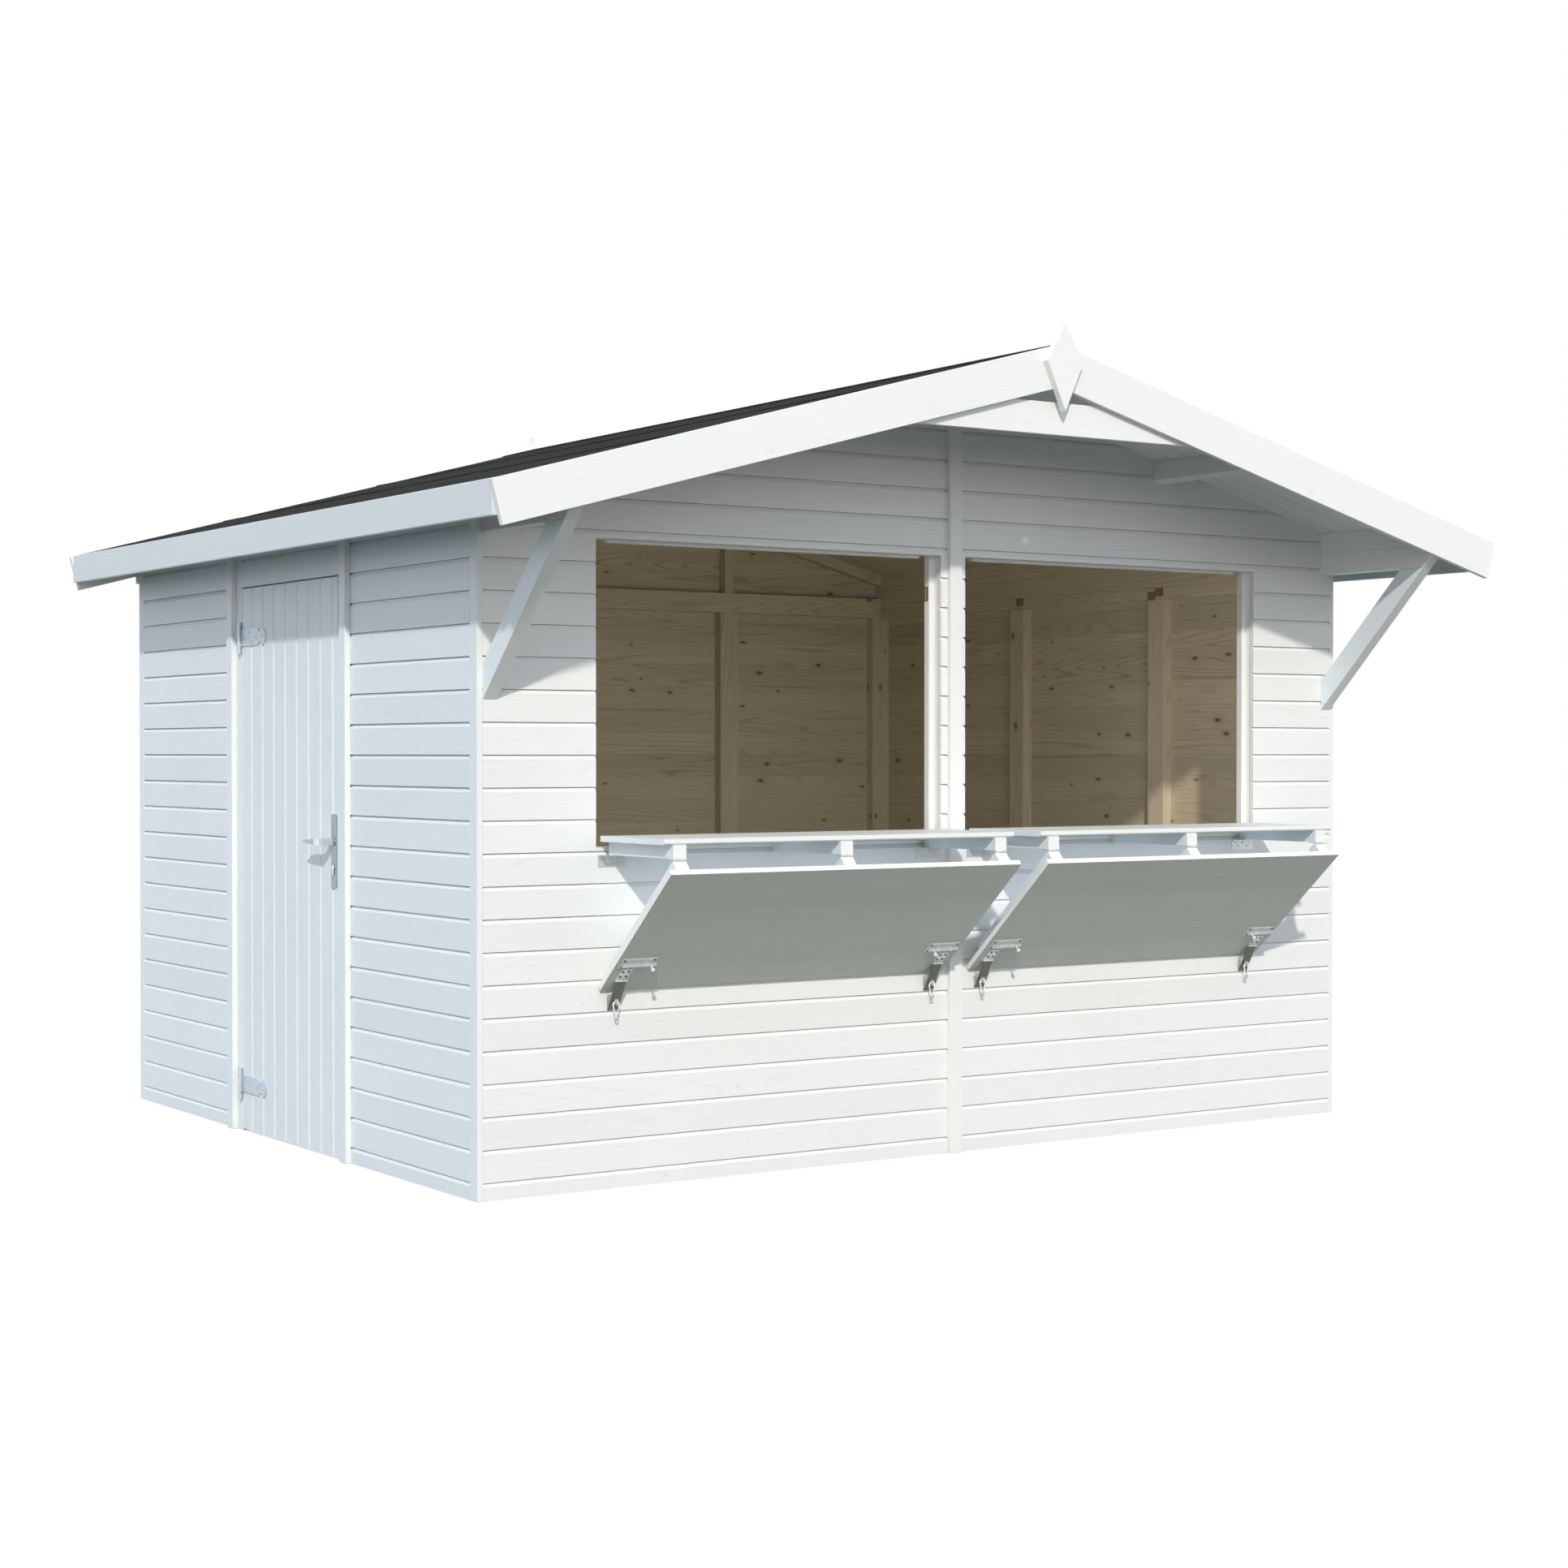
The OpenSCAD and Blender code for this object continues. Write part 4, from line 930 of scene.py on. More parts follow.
class HUT_OT_roof_felt(bpy.types.Operator):
    """Lay lapped courses of felt and a strip over the ridge"""
    bl_idname = "hut.roof_felt"
    bl_label = "Lay the felt"

    def execute(self, context):
        boards = context.scene.hut_boards
        thick, lap = boards.felt_thickness, boards.felt_lap
        run = EDGE / math.cos(PITCH)
        course = run / boards.felt_courses
        ease = thick / 3
        for side, node in ((-1, "roof_felt_left"), (1, "roof_felt_right")):
            sheets = []
            for number in range(boards.felt_courses):
                near, far = number * course, (number + 1) * course
                far += lap if number < boards.felt_courses - 1 else 0.0
                reach = sorted((side * near, side * far))
                sheet = block(f"{node}_course_{number}", (reach[0], 0.0, -ROOF_BACK),
                              (reach[1], thick, -ROOF_FRONT))
                with editing(sheet):
                    pick(sheet, "EDGE", lambda e: abs(e.verts[0].co.z - e.verts[1].co.z) > lap)
                    bpy.ops.mesh.subdivide(number_cuts=FELT_CUTS)
                    lines = [near + share * (far - near) for share in FELT_LINES]
                    for line in (*lines, far - lap):
                        bpy.ops.mesh.select_all(action="SELECT")
                        bpy.ops.mesh.bisect(plane_co=(side * line, 0.0, 0.0),
                                            plane_no=(1.0, 0.0, 0.0))
                    if number < boards.felt_courses - 1:
                        pick(sheet, "VERT", lambda v: side * v.co.x > far - lap + NEAR)
                        bpy.ops.transform.translate(value=(0.0, thick, 0.0))
                    pick(sheet, "VERT", lambda v: v.co.y > thick - NEAR)
                    bpy.ops.transform.vertex_random(offset=ease, seed=number + 1)
                place(sheet, slope_frame(side, RIDGE - FELT_RISE))
                trim(sheet, (0.0, 0.0, 0.0), (-side, 0.0, 0.0))
                smooth(sheet)
                sheets.append(sheet)
            settle(join(sheets, f"{node}_courses"), felt_finish(), node)
        reach = boards.ridge_felt
        strip = block("ridge_felt_strip", (-reach, ROOF_FRONT, RIDGE),
                      (reach, ROOF_BACK, RIDGE + thick))
        with editing(strip):
            bpy.ops.mesh.bisect(plane_co=(0.0, 0.0, 0.0), plane_no=(1.0, 0.0, 0.0))
            pick(strip, "VERT", lambda v: abs(v.co.x) > reach / 2)
            bpy.ops.transform.translate(value=(0.0, 0.0, -reach * FALL))
            pick(strip, "EDGE", lambda e: all(abs(v.co.x) < NEAR for v in e.verts)
                 and abs(e.verts[0].co.y - e.verts[1].co.y) > reach)
            bpy.ops.mesh.bevel(offset=reach / 8, segments=4, affect="EDGES")
        smooth(strip)
        settle(strip, felt_finish(), body="hut", slot="roofing_felt")
        return {"FINISHED"}


def soften_all(names, finish, width):
    for node in names.split():
        settle(soften(node, width, f"{node}_eased"), board_finish(finish), node)


class HUT_OT_trim(bpy.types.Operator):
    """Ease and finish the trim outside: battens, bargeboards, finials, braces and roof timbers"""
    bl_idname = "hut.trim"
    bl_label = "Finish the trim"

    def execute(self, context):
        arris = context.scene.hut_boards.arris
        soften_all("corner_battens door_battens door_posts", "side upright paint", arris)
        soften_all("front_joint_batten finials", "upright paint", arris)
        soften_all("bargeboards_left bargeboards_right", "slope paint", arris)
        soften_all("front_tie_board", "cross paint", arris)
        soften_all("braces", "brace paint", arris)
        soften_all("eaves_fascias", "fascia paint", arris)
        soften_all("wall_plates eave_purlins mid_purlins ridge_purlin", "purlin paint", arris)
        return {"FINISHED"}


class HUT_OT_frame_timber(bpy.types.Operator):
    """Ease and finish the posts, rails, rafters and door ledges"""
    bl_idname = "hut.frame_timber"
    bl_label = "Finish the frame"

    def execute(self, context):
        arris = context.scene.hut_boards.arris
        soften_all("front_posts", "opening posts", arris)
        soften_all("front_rails", "opening rails", arris)
        soften_all("back_posts side_posts", "upright pine", arris)
        soften_all("back_rails", "cross pine", arris)
        soften_all("side_rails", "rail pine", arris)
        ledges = soften("door_ledges", arris, "door_ledges_eased")
        low, high = door_ledge_ends()[-1]
        with editing(ledges):
            pick(ledges, "FACE", lambda f: all(low.z - NEAR < v.co.z < high.z + NEAR
                                               for v in f.verts))
            bpy.ops.mesh.separate(type="SELECTED")
        brace = next(o for o in context.selected_objects if o != ledges)
        brace.name = brace.data.name = "door_brace_eased"
        settle(ledges, board_finish("side pine"), "door_ledges")
        settle(brace, board_finish("ledge pine"), body="door", slot=SLOTS["door_ledges"])
        soften_all("gable_rafters", "slope pine", arris)
        return {"FINISHED"}


class HUT_OT_hatches(bpy.types.Operator):
    """Ease and finish the folding serving hatches and their stops"""
    bl_idname = "hut.hatches"
    bl_label = "Finish the hatches"

    def execute(self, context):
        boards = context.scene.hut_boards
        soften_all("hatch_stops", "upright paint", boards.arris)
        counter = copy_node("hatch_counters", "hatch_counters_eased")
        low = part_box("hatch_counters")[0]
        with editing(counter):
            pick(counter, "EDGE", lambda e: all(v.co.y < low.y + NEAR and v.co.z < low.z + NEAR
                                                for v in e.verts))
            bpy.ops.mesh.bevel(offset=boards.counter_bevel, segments=1, affect="EDGES")
        round_edges(counter, boards.inner_joint)
        smooth(counter)
        settle(counter, board_finish("cross paint"), "hatch_counters")
        soften_all("hatch_counter_battens hatch_flap_battens", "cross paint", boards.inner_joint)
        soften_all("hatch_flaps", "flap boards", boards.inner_joint)
        return {"FINISHED"}


def iron():
    colours = bpy.context.scene.hut_finishes
    return metal_finish("bright zinc", colours.zinc)


# Galvanised iron whose colour carries a painted reflection of the blue sky.
def galvanised():
    colours = bpy.context.scene.hut_finishes
    return metal_finish("galvanised iron", colours.sky_tinted_hinge_zinc)


def alloy():
    colours = bpy.context.scene.hut_finishes
    return metal_finish("satin handle metal", colours.alloy)


ROD_REACH = 0.72  # half the height of a bolt's rod, and of the band of darker zinc (painted shade) round it, as a share of its distance from the flap


class HUT_OT_ironwork(bpy.types.Operator):
    """Round the edges of the hinges, hasps, bolts and handle plate"""
    bl_idname = "hut.ironwork"
    bl_label = "Finish the ironwork"

    def execute(self, context):
        edge = context.scene.hut_boards.metal_edge
        colours = context.scene.hut_finishes
        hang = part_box("hatch_hasps")[0].z + context.scene.hut_boards.strap_hang
        rod = context.scene.hut_boards.rod_centre
        finishes = {
            # Each hasp's strap below its knuckle takes the dark zinc, a painted dark reflection and
            # shade.
            "hatch_hasps": metal_finish("zinc with painted dark strap", colours.zinc,
                                        ("LESS_THAN", "z", (hang,), colours.painted_shade_zinc)),
            # The band round each bolt's rod takes the darker zinc, painted shade; the plate, the
            # guides' tops and the knob keep the light zinc.
            "hatch_bolts": metal_finish("zinc with painted shade on the rod", colours.zinc,
                                        ("COMPARE", "across_flap",
                                         (FLAP_SHELL - rod, rod * ROD_REACH), colours.painted_shade_bolt_zinc)),
            "door_hinge_straps": galvanised(), "door_hinge_pins": galvanised(),
        }
        for node, slot in SLOTS.items():
            if slot == "zinc":
                settle(soften(node, edge, f"{node}_rounded", 1), finishes.get(node, iron()), node)
        settle(soften("handle_plate", edge, "handle_plate_rounded", 1), alloy(), "handle_plate")
        return {"FINISHED"}


GRIP_STEPS = ((0.12, 0.88), (0.58, 0.60), (0.30, 0.68))  # each a share of the length, a height
TIP_DEPTH = 0.7  # depth of the lever's tip, as a share of the neck's
GRIP_HIGHLIGHT = 0.14  # share of the grip that takes the bright metal, a painted highlight
LEVER_SHARP = math.radians(35)


class HUT_OT_lever(bpy.types.Operator):
    """Forge the door lever: a neck out of the plate and a grip that thins towards its tip"""
    bl_idname = "hut.lever"
    bl_label = "Forge the lever"

    def execute(self, context):
        boards = context.scene.hut_boards
        low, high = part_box("door_lever")
        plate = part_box("handle_plate")[0].x
        tall, tip = boards.lever_height / 2, boards.lever_tip / 2
        middle, deep = (low.z + high.z) / 2, high.z - low.z
        grip = high.y - low.y - deep
        lever = block("door_lever_forged", (low.x, low.y, middle - tall),
                      (low.x + deep, low.y + deep, middle + tall))
        with editing(lever):
            pick(lever, "FACE", lambda f: f.normal.x > LOOKS)
            extrude(x=plate + tall / 2 - low.x - deep)
            pick(lever, "FACE", lambda f: f.normal.y > LOOKS
                 and f.calc_center_median().x < low.x + deep)
            for share, height in GRIP_STEPS:
                extrude(y=grip * share)
                bpy.ops.transform.resize(value=(1.0, 1.0, height),
                                         center_override=(low.x, low.y, middle))
            pick(lever, "FACE", lambda f: f.normal.y > LOOKS
                 and f.calc_center_median().y > high.y - deep)
            bpy.ops.transform.resize(value=(TIP_DEPTH, 1.0, 2 * tip / (high.z - low.z)),
                                     center_override=(low.x + deep / 2, high.y, middle))
        round_edges(lever, tip / 2, 3, LEVER_SHARP)
        smooth(lever, ROUND)
        colours = context.scene.hut_finishes
        # The grip near the neck takes the bright metal as a painted highlight. The rest takes the
        # satin metal as painted shade.
        painted_light = metal_finish("handle metal with painted highlight", colours.polished_alloy_and_highlight,
                            ("GREATER_THAN", "y", (low.y + deep + grip * GRIP_HIGHLIGHT,),
                             colours.alloy))
        settle(lever, painted_light, "door_lever")
        return {"FINISHED"}


# Insets of a screw head, as shares of its width and its rise.
SCREW_STEPS = ((0.10, 0.3), (0.18, 0.0), (0.04, -0.9))
# Places of the screws, as shares of each plate's width and height.
WALL_LEAF_SCREWS = ((0.17, 0.68), (0.52, 0.66), (0.86, 0.68), (0.30, 0.34), (0.73, 0.34))
STAPLE_SCREWS = ((0.16, 0.16), (0.16, 0.84), (0.84, 0.16), (0.84, 0.84))
STRAP_SCREWS = ((0.11, 0.50), (0.36, 0.50), (0.52, 0.22), (0.62, 0.78), (0.80, 0.50))
PLATE_SCREWS, POST_SCREWS = (0.06, 0.94), (0.15, 0.50, 0.85)
STRAP_FLAT = 0.6  # share of a strap, from its tip, that is clear of its knuckle
POST_EDGE = 1.6  # distance of a screw from a post leaf's edge, in screw heads
# Screws on the flaps: half widths from the middle, and metres down from a plate's upper edge.
FLAP_SCREWS = {
    "hatch_hasps": ((-0.5, 0.012), (0.5, 0.012), (-0.5, 0.036), (0.5, 0.036)),
    "hatch_bolts": ((-0.88, 0.006), (0.88, 0.006), (-0.88, 0.036), (0.88, 0.036)),
}


def screw(name):
    """Round head with a sunk drive, standing on z = 0."""
    boards = bpy.context.scene.hut_boards
    rise = boards.screw_rise
    clear_selection()
    bpy.ops.mesh.primitive_cylinder_add(vertices=12, radius=boards.screw_width / 2, depth=rise,
                                        location=(0.0, 0.0, rise / 2))
    obj = fix_place()
    obj.name = obj.data.name = name
    with editing(obj):
        pick(obj, "FACE", lambda f: f.normal.z > LOOKS)
        inset_steps(SCREW_STEPS, boards.screw_width, rise)
    return obj


def spread_copies(pattern, matrices, name):
    """Copies of one small piece at many places, joined into one piece."""
    copies = []
    for number, matrix in enumerate(matrices):
        made = bpy.data.objects.new(f"{name}_{number}", pattern.data.copy())
        bpy.context.scene.collection.objects.link(made)
        place(made, matrix)
        copies.append(made)
    activate(pattern)
    bpy.ops.object.delete()
    return join(copies, name)


def facing(point, out, up):
    """Matrix that stands a piece on a point, its z outwards and its y upwards."""
    out, up = Vector(out).normalized(), Vector(up)
    across = up.cross(out).normalized()
    up = out.cross(across)
    turn = Matrix((across, up, out)).transposed().to_4x4()
    return Matrix.Translation(point) @ turn


def front_place(x, y, z):
    return facing((x, y, z), (0, -1, 0), (0, 0, 1))


def left_place(x, y, z):
    return facing((x, y, z), (-1, 0, 0), (0, 0, 1))


def hinge_screw_places():
    """Screws of the hatch hinges' wall leaves and of the staples."""
    face = FRONT - bpy.context.scene.hut_boards.leaf
    places = []
    for node, shares in (("counter_hinges", WALL_LEAF_SCREWS), ("hatch_staples", STAPLE_SCREWS)):
        for points in solids(node):
            low, high = span(points)
            places += [front_place(between(low.x, high.x, across), face,
                                   between(low.z, high.z, up)) for across, up in shares]
    return places


def flap_screw_places():
    """Screws of the plates on the flaps' outer faces, in the plane of each plate's face."""
    down = Vector((0.0, math.cos(FLAP_TURN), -math.sin(FLAP_TURN)))
    out = Vector((0.0, -math.sin(FLAP_TURN), -math.cos(FLAP_TURN)))
    leaf = bpy.context.scene.hut_boards.leaf
    places = []
    for node, spots in FLAP_SCREWS.items():
        for points in solids(node):
            face = [p for p in points if abs(p.dot(out) + FLAP_SHELL) < leaf / 10]
            low, high = span(face)
            middle, half = (low.x + high.x) / 2, (high.x - low.x) / 2
            start = min(p.dot(down) for p in face)
            for across, along in spots:
                spot = Vector((middle + across * half, 0.0, 0.0))
                spot += down * (start + along) + out * (leaf - FLAP_SHELL)
                places.append(facing(spot, out, -down))
    return places


def door_screw_places():
    """Screws of the strap hinges and of the handle plate."""
    places = []
    for points in solids("door_hinge_straps"):
        low, high = span(points)
        face = min(p.x for p in points if p.y < between(low.y, high.y, STRAP_FLAT))
        places += [left_place(face, between(low.y, high.y, along), between(low.z, high.z, up))
                   for along, up in STRAP_SCREWS]
    low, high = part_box("handle_plate")
    face = -HALF - bpy.context.scene.hut_boards.handle_leaf
    return places + [left_place(face, (low.y + high.y) / 2, between(low.z, high.z, up))
                     for up in PLATE_SCREWS]


def post_screw_places():
    """Screws of the fixed leaves of the door hinges."""
    boards = bpy.context.scene.hut_boards
    places = []
    for points in solids("door_hinge_pins"):
        low, high = span(points)
        places += [left_place(-HALF - boards.post_leaf, high.y - POST_EDGE * boards.screw_width,
                              between(low.z, high.z, up)) for up in POST_SCREWS]
    return places


class HUT_OT_screws(bpy.types.Operator):
    """Drive the screws of the hinges, latches and handle plate"""
    bl_idname = "hut.screws"
    bl_label = "Drive the screws"

    def execute(self, context):
        colours = context.scene.hut_finishes
        # The latch screws take the dark zinc of the painted shade.
        dark = metal_finish("dark screws", colours.painted_shade_zinc)
        for name, body, places, finish in (
                ("hatch_screws", "hut", hinge_screw_places(), iron()),
                ("latch_screws", "hut", flap_screw_places(), dark),
                ("door_post_screws", "hut", post_screw_places(), galvanised()),
                ("door_screws", "door", door_screw_places(), galvanised())):
            made = spread_copies(screw("screw"), places, name)
            settle(made, finish, body=body, slot="zinc")
        return {"FINISHED"}


CLIP_NARROWS = 0.62  # width of a clip's foot, as a share of its bend
EYE_WIRE, EYE_DROP, EYE_LENGTH = 0.42, 0.42, 1.15  # shares of the wire, the bend, a round eye


def wire_ring(radius, wire, height, segments):
    """Upright ring of wire, as the start of a clip or its eye."""
    clear_selection()
    bpy.ops.mesh.primitive_torus_add(major_segments=segments[0], minor_segments=segments[1],
                                     major_radius=radius, minor_radius=wire,
                                     location=(0.0, 0.0, height),
                                     rotation=(math.radians(90.0), 0.0, 0.0))
    return fix_place()


class HUT_OT_clips(bpy.types.Operator):
    """Hang a wire clip with an eye in every staple"""
    bl_idname = "hut.clips"
    bl_label = "Hang the clips"

    def execute(self, context):
        boards = context.scene.hut_boards
        bend, run, wire = boards.clip_radius, boards.clip_length, boards.clip_wire
        clip = wire_ring(bend, wire / 2, 0.0, (28, 10))
        with editing(clip):
            pick(clip, "VERT", lambda v: v.co.z < -NEAR)
            bpy.ops.transform.translate(value=(0.0, 0.0, -run))
            pick(clip, "VERT", lambda v: v.co.z < -run)
            bpy.ops.transform.resize(value=(CLIP_NARROWS, 1.0, 1.0),
                                     center_override=(0.0, 0.0, -run))
        foot = -run - bend - wire / 2
        middle = foot - bend * EYE_DROP
        eye = wire_ring(bend / 2, wire * EYE_WIRE, middle, (20, 8))
        with editing(eye):
            pick(eye, "VERT", lambda v: v.co.z < middle)
            bpy.ops.transform.resize(value=(1.0, 1.0, EYE_LENGTH),
                                     center_override=(0.0, 0.0, middle))
        clip = join([clip, eye], "clip")
        smooth(clip, ROUND)
        spots = []
        for points in solids("hatch_staples"):
            low, _ = span(points)
            loop_low, loop_high = span([p for p in points if p.y < low.y + wire])
            half = (loop_high.z - loop_low.z) / 2
            spots.append(Vector(((loop_low.x + loop_high.x) / 2, low.y + half,
                                 (loop_low.z + loop_high.z) / 2 + half / 4 - bend)))
        colours = context.scene.hut_finishes
        # Below each clip's foot, the eye takes the darker bolt zinc. This is painted shade that
        # sets it off the wall.
        wire_finish = metal_finish("bright wire", colours.wire_zinc,
                                   ("LESS_THAN", "z", (spots[-1].z + foot,), colours.painted_shade_bolt_zinc))
        clips = spread_copies(clip, map(Matrix.Translation, spots), "hatch_clips")
        settle(clips, wire_finish, body="hut", slot="zinc")
        return {"FINISHED"}


KEEP_STEPS = ((0.30, 0.0), (0.02, -0.9))  # insets of a keep's slot: shares of width and thickness


class HUT_OT_keeps(bpy.types.Operator):
    """Set a slotted brass keep on each upright hatch stop, save those in the right quarter of the
    front
    """
    bl_idname = "hut.keeps"
    bl_label = "Set the bolt keeps"

    def execute(self, context):
        boards = context.scene.hut_boards
        colours = context.scene.hut_finishes
        wide, tall, thick = boards.keep_width, boards.keep_height, boards.screw_rise
        keep = block("keep", (-wide / 2, -tall / 2, 0.0), (wide / 2, tall / 2, thick))
        with editing(keep):
            pick(keep, "FACE", lambda f: f.normal.z > LOOKS)
            inset_steps(KEEP_STEPS, wide, thick)
        round_edges(keep, thick / 5)
        smooth(keep)
        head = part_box("front_piers")[1].z
        places = []
        for points in solids("hatch_stops"):
            low, high = span(points)
            if high.z - low.z < high.x - low.x or low.x > HALF / 2:
                continue
            side = 1 if low.x > 0 else -1
            inner = abs(low.x + high.x) / 2 < HALF / 2
            out = side if inner else -side
            face = (high.x if out > 0 else low.x)
            spot = (face, (low.y + high.y) / 2, head - boards.keep_drop - tall / 2)
            places.append(facing(spot, (out, 0, 0), (0, 0, 1)))
        brass = metal_finish("dull brass", colours.brass)
        settle(spread_copies(keep, places, "bolt_keeps"), brass, body="hut", slot="zinc")
        return {"FINISHED"}


LOCK_STEPS = ((0.10, 0.25), (0.08, 0.0), (0.02, 0.0))  # insets: shares of width and rise
KEYWAY_WIDTH, KEYWAY_DEPTH = 0.22, 0.9  # shares of the plug and of the rise
TAIL_HALF, TAIL_TOP, TAIL_FOOT, TAIL_ROUND = 0.29, 0.30, 1.45, 0.28  # shares of the lock's width
LOCK_SHADED = 0.6  # share of the rise, from the plate, that takes dark zinc: painted shade in the keyway and at the plate


class HUT_OT_lock(bpy.types.Operator):
    """Fit the lock cylinder with its keyway into the handle plate"""
    bl_idname = "hut.lock"
    bl_label = "Fit the lock"

    def execute(self, context):
        boards = context.scene.hut_boards
        low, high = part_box("handle_plate")
        lever_low, lever_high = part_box("door_lever")
        wide, rise = boards.lock_width, boards.lock_rise
        face = -HALF - boards.handle_leaf
        middle = Vector((face - rise / 2, (low.y + high.y) / 2,
                         (lever_low.z + lever_high.z) / 2 - boards.lock_drop))
        clear_selection()
        bpy.ops.mesh.primitive_cylinder_add(vertices=32, radius=wide / 2, depth=rise,
                                            location=middle,
                                            rotation=(0.0, math.radians(90.0), 0.0))
        barrel = fix_place()
        with editing(barrel):
            pick(barrel, "FACE", lambda f: f.normal.x < -LOOKS)
            inset_steps(LOCK_STEPS, wide, rise)
            bpy.ops.transform.resize(value=(1.0, KEYWAY_WIDTH, 1.0), center_override=middle)
            extrude(x=rise * KEYWAY_DEPTH)
        tail = block("lock_tail",
                     (face - rise, middle.y - wide * TAIL_HALF, middle.z - wide * TAIL_FOOT),
                     (face, middle.y + wide * TAIL_HALF, middle.z - wide * TAIL_TOP))
        with editing(tail):
            pick(tail, "EDGE", lambda e: abs(e.verts[0].co.x - e.verts[1].co.x) > rise / 2
                 and e.verts[0].co.z < middle.z - wide)
            bpy.ops.mesh.bevel(offset=wide * TAIL_ROUND, segments=6, affect="EDGES")
        lock = join([barrel, tail], "lock_cylinder")
        round_edges(lock, rise / 8)
        smooth(lock)
        colours = context.scene.hut_finishes
        # The lock's face takes the bright metal. The keyway and the part next to the plate take
        # dark zinc, which is painted shade.
        shine = metal_finish("polished lock metal with painted shade", colours.polished_alloy_and_highlight,
                             ("GREATER_THAN", "x", (face - rise * LOCK_SHADED,), colours.painted_shade_zinc))
        settle(lock, shine, body="door", slot="handle_metal")
        return {"FINISHED"}


STOP_CLEAR = 1.4  # distance of the head stop's ends from the door's edges, in gaps


class HUT_OT_door_head(bpy.types.Operator):
    """Fix the stop over the door, between the stops of the posts"""
    bl_idname = "hut.door_head"
    bl_label = "Fix the door's head stop"

    def execute(self, context):
        boards = context.scene.hut_boards
        door_low, door_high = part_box("door_leaf")
        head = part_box("left_wall_over_door")[0].z
        gap = head - door_high.z
        inner = -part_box("right_wall")[0].x + (FRONT_INNER - FRONT - CLAD)
        stop = block("door_head_stop",
                     (door_high.x + gap, door_low.y + gap * STOP_CLEAR, head - boards.head_stop),
                     (inner, door_high.y - gap * STOP_CLEAR, head))
        with editing(stop):
            pick(stop, "EDGE", lambda e: all(v.co.z < head - boards.head_stop / 2
                                             for v in e.verts))
            bpy.ops.mesh.bevel(offset=boards.arris, segments=2, affect="EDGES")
        smooth(stop)
        settle(stop, board_finish("head stop paint"), body="hut", slot="paint_side")
        return {"FINISHED"}


RAIL_END_LIFTS, RAIL_END_HEIGHT = (0.30, 0.0), 0.72  # shares of half a stud's width


class HUT_OT_rail_ends(bpy.types.Operator):
    """Show the dark ends of the rails that meet over the right wall's studs"""
    bl_idname = "hut.rail_ends"
    bl_label = "Show the rail ends"

    def execute(self, context):
        boards = context.scene.hut_boards
        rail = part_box("side_rails")[1].z
        pairs = [span(points) for points in solids("side_posts")]
        pairs = [(low, high) for low, high in pairs if low.x > 0
                 and low.y > FRONT_INNER and high.y < BACK - (FRONT_INNER - FRONT)]
        ends = []
        for number, (low, high) in enumerate(pairs):
            stud = (high.y - low.y) / 2
            for side, lift in tuple(enumerate(RAIL_END_LIFTS))[:len(pairs) - number]:
                foot = rail - stud + lift * stud - boards.rail_end_rise
                end = block(f"rail_end_{number}_{side}",
                            (low.x - boards.rail_end_rise, low.y + side * stud, foot),
                            (low.x, low.y + (side + 1) * stud, foot + RAIL_END_HEIGHT * stud))
                with editing(end):
                    pick(end, "FACE", lambda f: f.normal.x < -LOOKS)
                    bpy.ops.mesh.inset(thickness=boards.arris, depth=boards.rail_end_rise / 4)
                smooth(end)
                ends.append(end)
        settle(join(ends, "rail_ends"), board_finish("end grain"), body="hut", slot="bare_pine")
        return {"FINISHED"}


SENSOR = 36.0  # width of the camera's sensor in millimetres


class HUT_OT_stage(bpy.types.Operator):
    """Set the floor, the light and the camera"""
    bl_idname = "hut.stage"
    bl_label = "Set the stage"

    def execute(self, context):
        scene, stage = context.scene, context.scene.hut_stage
        scene.view_settings.view_transform = "Standard"
        clear_selection()
        bpy.ops.mesh.primitive_plane_add(size=stage.floor_size)
        floor = context.object
        floor.name = "floor"
        floor.data.materials.append(floor_finish())
        light_key(scene, stage)
        light_round(scene, stage)
        light_room(scene, stage)
        light_hatches(scene, stage)
        lens = bpy.data.cameras.new("photo camera")
        lens.lens, lens.sensor_width, lens.sensor_fit = stage.camera_lens, SENSOR, "HORIZONTAL"
        lens.clip_end = stage.floor_size * 2
        camera = bpy.data.objects.new("photo camera", lens)
        camera.location = stage.camera_place
        camera.rotation_euler = stage.camera_turn
        scene.collection.objects.link(camera)
        scene.camera = camera
        return {"FINISHED"}


def seen_ray(tree):
    """1 for what the camera, a mirror or glass sees, 0 for bounced light."""
    path = tree.nodes.new("ShaderNodeLightPath")
    total = path.outputs["Is Camera Ray"]
    for name in ("Is Glossy Ray", "Is Transmission Ray"):
        either = tree.nodes.new("ShaderNodeMath")
        either.operation = "MAXIMUM"
        tree.links.new(total, either.inputs[0])
        tree.links.new(path.outputs[name], either.inputs[1])
        total = either.outputs[0]
    return total


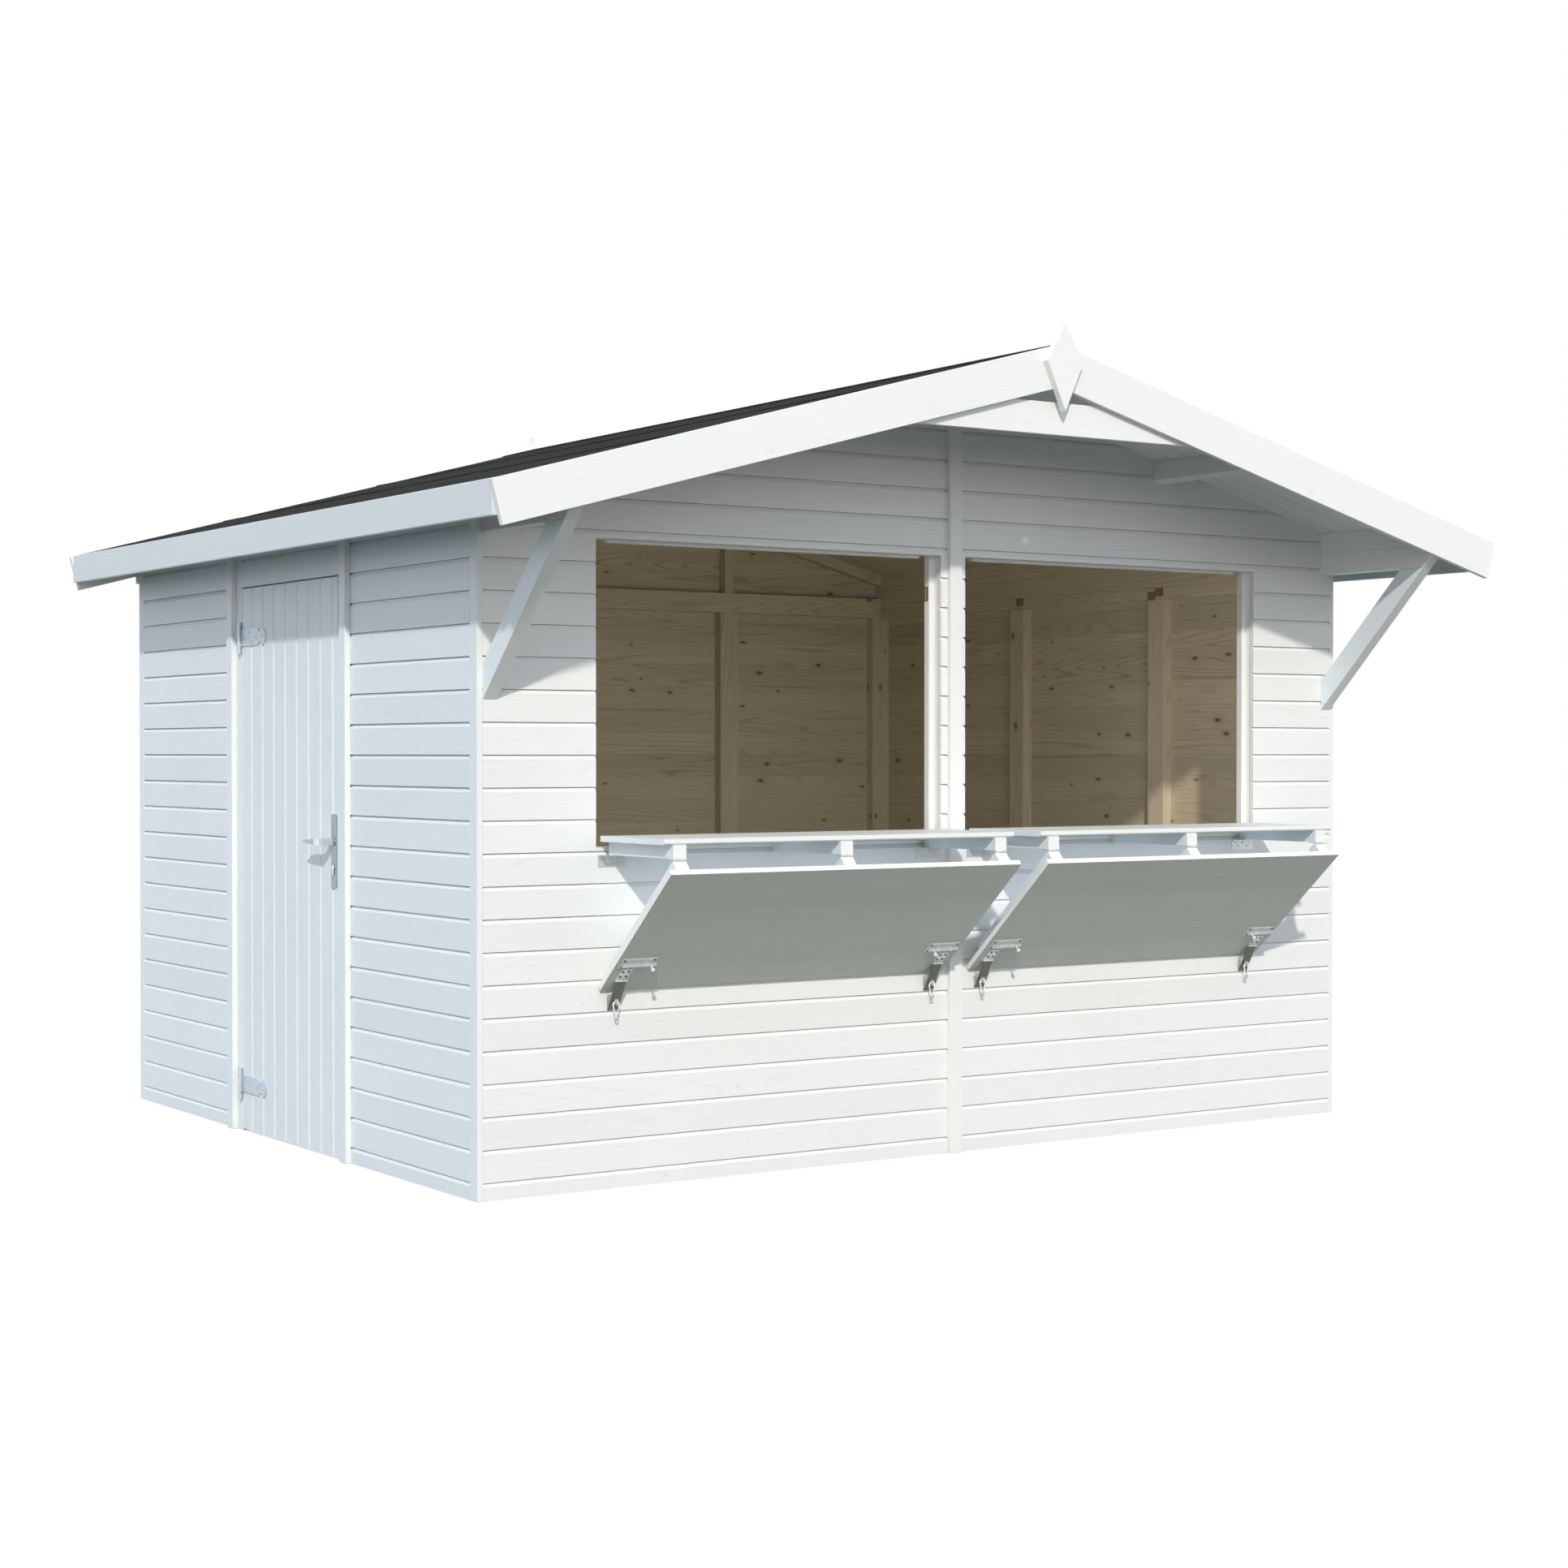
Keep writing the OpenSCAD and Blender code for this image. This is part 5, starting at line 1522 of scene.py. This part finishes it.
def floor_finish():
    """White where it is seen, with the shadow kept, and a plain grey in bounced light."""
    stage = bpy.context.scene.hut_stage
    floor = bpy.data.materials.new("studio floor")
    floor.use_nodes = True
    tree = floor.node_tree
    tree.nodes.clear()
    shown, matt, dull = (tree.nodes.new(kind) for kind in (
        "ShaderNodeEmission", "ShaderNodeBsdfDiffuse", "ShaderNodeBsdfDiffuse"))
    shown.inputs["Color"].default_value = (1.0, 1.0, 1.0, 1.0)
    shown.inputs["Strength"].default_value = stage.floor_glow
    matt.inputs["Color"].default_value = (*[stage.floor_tone] * 3, 1.0)
    dull.inputs["Color"].default_value = (*stage.ground_colour, 1.0)
    both, choice = tree.nodes.new("ShaderNodeAddShader"), tree.nodes.new("ShaderNodeMixShader")
    out = tree.nodes.new("ShaderNodeOutputMaterial")
    for source, target in ((shown.outputs[0], both.inputs[0]), (matt.outputs[0], both.inputs[1]),
                           (seen_ray(tree), choice.inputs[0]), (dull.outputs[0], choice.inputs[1]),
                           (both.outputs[0], choice.inputs[2]), (choice.outputs[0], out.inputs[0])):
        tree.links.new(source, target)
    return floor


def light_key(scene, stage):
    """Light from far off along one direction, softened by its width."""
    lamp = bpy.data.lights.new("key light", "SUN")
    lamp.energy, lamp.color, lamp.angle = stage.sun_strength, stage.sun_colour, stage.sun_spread
    light = bpy.data.objects.new("key light", lamp)
    light.rotation_euler = Vector(stage.sun_way).to_track_quat("-Z", "Y").to_euler()
    scene.collection.objects.link(light)


def light_round(scene, stage):
    """White where it is seen, a cool even fill light, and a brighter band low down."""
    world = bpy.data.worlds.new("studio fill")
    scene.world = world
    world.use_nodes = True
    tree = world.node_tree
    tree.nodes.clear()
    seen, fill = (tree.nodes.new("ShaderNodeBackground") for _ in range(2))
    seen.inputs["Color"].default_value = (1.0, 1.0, 1.0, 1.0)
    coords, split, band, tint = (tree.nodes.new(kind) for kind in (
        "ShaderNodeTexCoord", "ShaderNodeSeparateXYZ", "ShaderNodeMapRange", "ShaderNodeMix"))
    band.inputs["From Min"].default_value = math.sin(stage.horizon_fade)
    band.inputs["From Max"].default_value = math.sin(stage.horizon_height)
    tint.data_type = "RGBA"
    tint.inputs[6].default_value = (*stage.sky_colour, 1.0)
    tint.inputs[7].default_value = (*Vector(stage.horizon_colour) * stage.horizon_strength, 1.0)
    choice, out = tree.nodes.new("ShaderNodeMixShader"), tree.nodes.new("ShaderNodeOutputWorld")
    for source, target in ((coords.outputs["Generated"], split.inputs[0]),
                           (split.outputs["Z"], band.inputs["Value"]),
                           (band.outputs[0], tint.inputs[0]), (tint.outputs[2], fill.inputs[0]),
                           (seen_ray(tree), choice.inputs[0]), (fill.outputs[0], choice.inputs[1]),
                           (seen.outputs[0], choice.inputs[2]), (choice.outputs[0], out.inputs[0])):
        tree.links.new(source, target)


def soft_light(scene, name, power, size, spot, tilt, colour=(1.0, 1.0, 1.0)):
    """Broad lamp that isn't seen itself, tilted from looking down."""
    lamp = bpy.data.lights.new(name, "AREA")
    lamp.energy, lamp.color, lamp.shape = power, colour, "RECTANGLE"
    lamp.size, lamp.size_y = size
    light = bpy.data.objects.new(name, lamp)
    light.location = spot
    light.rotation_euler = (math.radians(tilt), 0.0, 0.0)
    light.visible_camera = light.visible_glossy = False
    scene.collection.objects.link(light)


ROOM_WIDE, ROOM_HIGH = 1.7, 0.8  # width and height of the room light, as shares of the room
HATCH_WIDE, HATCH_DEEP = 0.9, 5  # width of a hatch light by its flap, depth in board thicknesses
LEVEL_TILT, UP_TILT = 90.0, 150.0  # degrees


def light_room(scene, stage):
    """Soft light from inside the front wall towards the back of the room."""
    soft_light(scene, "room light", stage.room_light, (HALF * ROOM_WIDE, BACK),
               (0.0, FRONT_INNER + CLAD, BACK * ROOM_HIGH), LEVEL_TILT)


def light_hatches(scene, stage):
    """Soft light from behind each flap up to the underside of its counter."""
    for number, points in enumerate(solids("hatch_flaps")):
        low, high = span(points)
        soft_light(scene, f"hatch light {number}", stage.hatch_light,
                   (HATCH_WIDE * (high.x - low.x), HATCH_DEEP * CLAD),
                   ((low.x + high.x) / 2, (low.y + 2 * FRONT) / 3, (low.z + high.z) / 2),
                   UP_TILT, stage.sky_colour)


STEPS = (HUT_OT_stage, HUT_OT_clad_front, HUT_OT_clad_sides, HUT_OT_clad_back,
         HUT_OT_door_boards, HUT_OT_roof_boards, HUT_OT_roof_felt, HUT_OT_trim,
         HUT_OT_frame_timber, HUT_OT_hatches, HUT_OT_ironwork, HUT_OT_lever, HUT_OT_screws,
         HUT_OT_clips, HUT_OT_keeps, HUT_OT_lock, HUT_OT_door_head, HUT_OT_rail_ends)


class HUT_PT_looks(bpy.types.Panel):
    """Steps that dress the hut"""
    bl_idname = "HUT_PT_looks"
    bl_label = "Market hut"
    bl_space_type = "VIEW_3D"
    bl_region_type = "UI"
    bl_category = "Hut"

    def draw(self, context):
        for step in STEPS:
            self.layout.operator(step.bl_idname)


CLASSES = (HutBoards, HutFinishes, HutStage, *STEPS, HUT_PT_looks)


def register():
    for made in CLASSES:
        bpy.utils.register_class(made)
    bpy.types.Scene.hut_boards = bpy.props.PointerProperty(type=HutBoards)
    bpy.types.Scene.hut_finishes = bpy.props.PointerProperty(type=HutFinishes)
    bpy.types.Scene.hut_stage = bpy.props.PointerProperty(type=HutStage)


def unregister():
    del bpy.types.Scene.hut_boards, bpy.types.Scene.hut_finishes, bpy.types.Scene.hut_stage
    for made in reversed(CLASSES):
        bpy.utils.unregister_class(made)


def main():
    register()
    for step in STEPS:
        group, name = step.bl_idname.split(".")
        getattr(getattr(bpy.ops, group), name)()


if __name__ == "__main__":
    main()
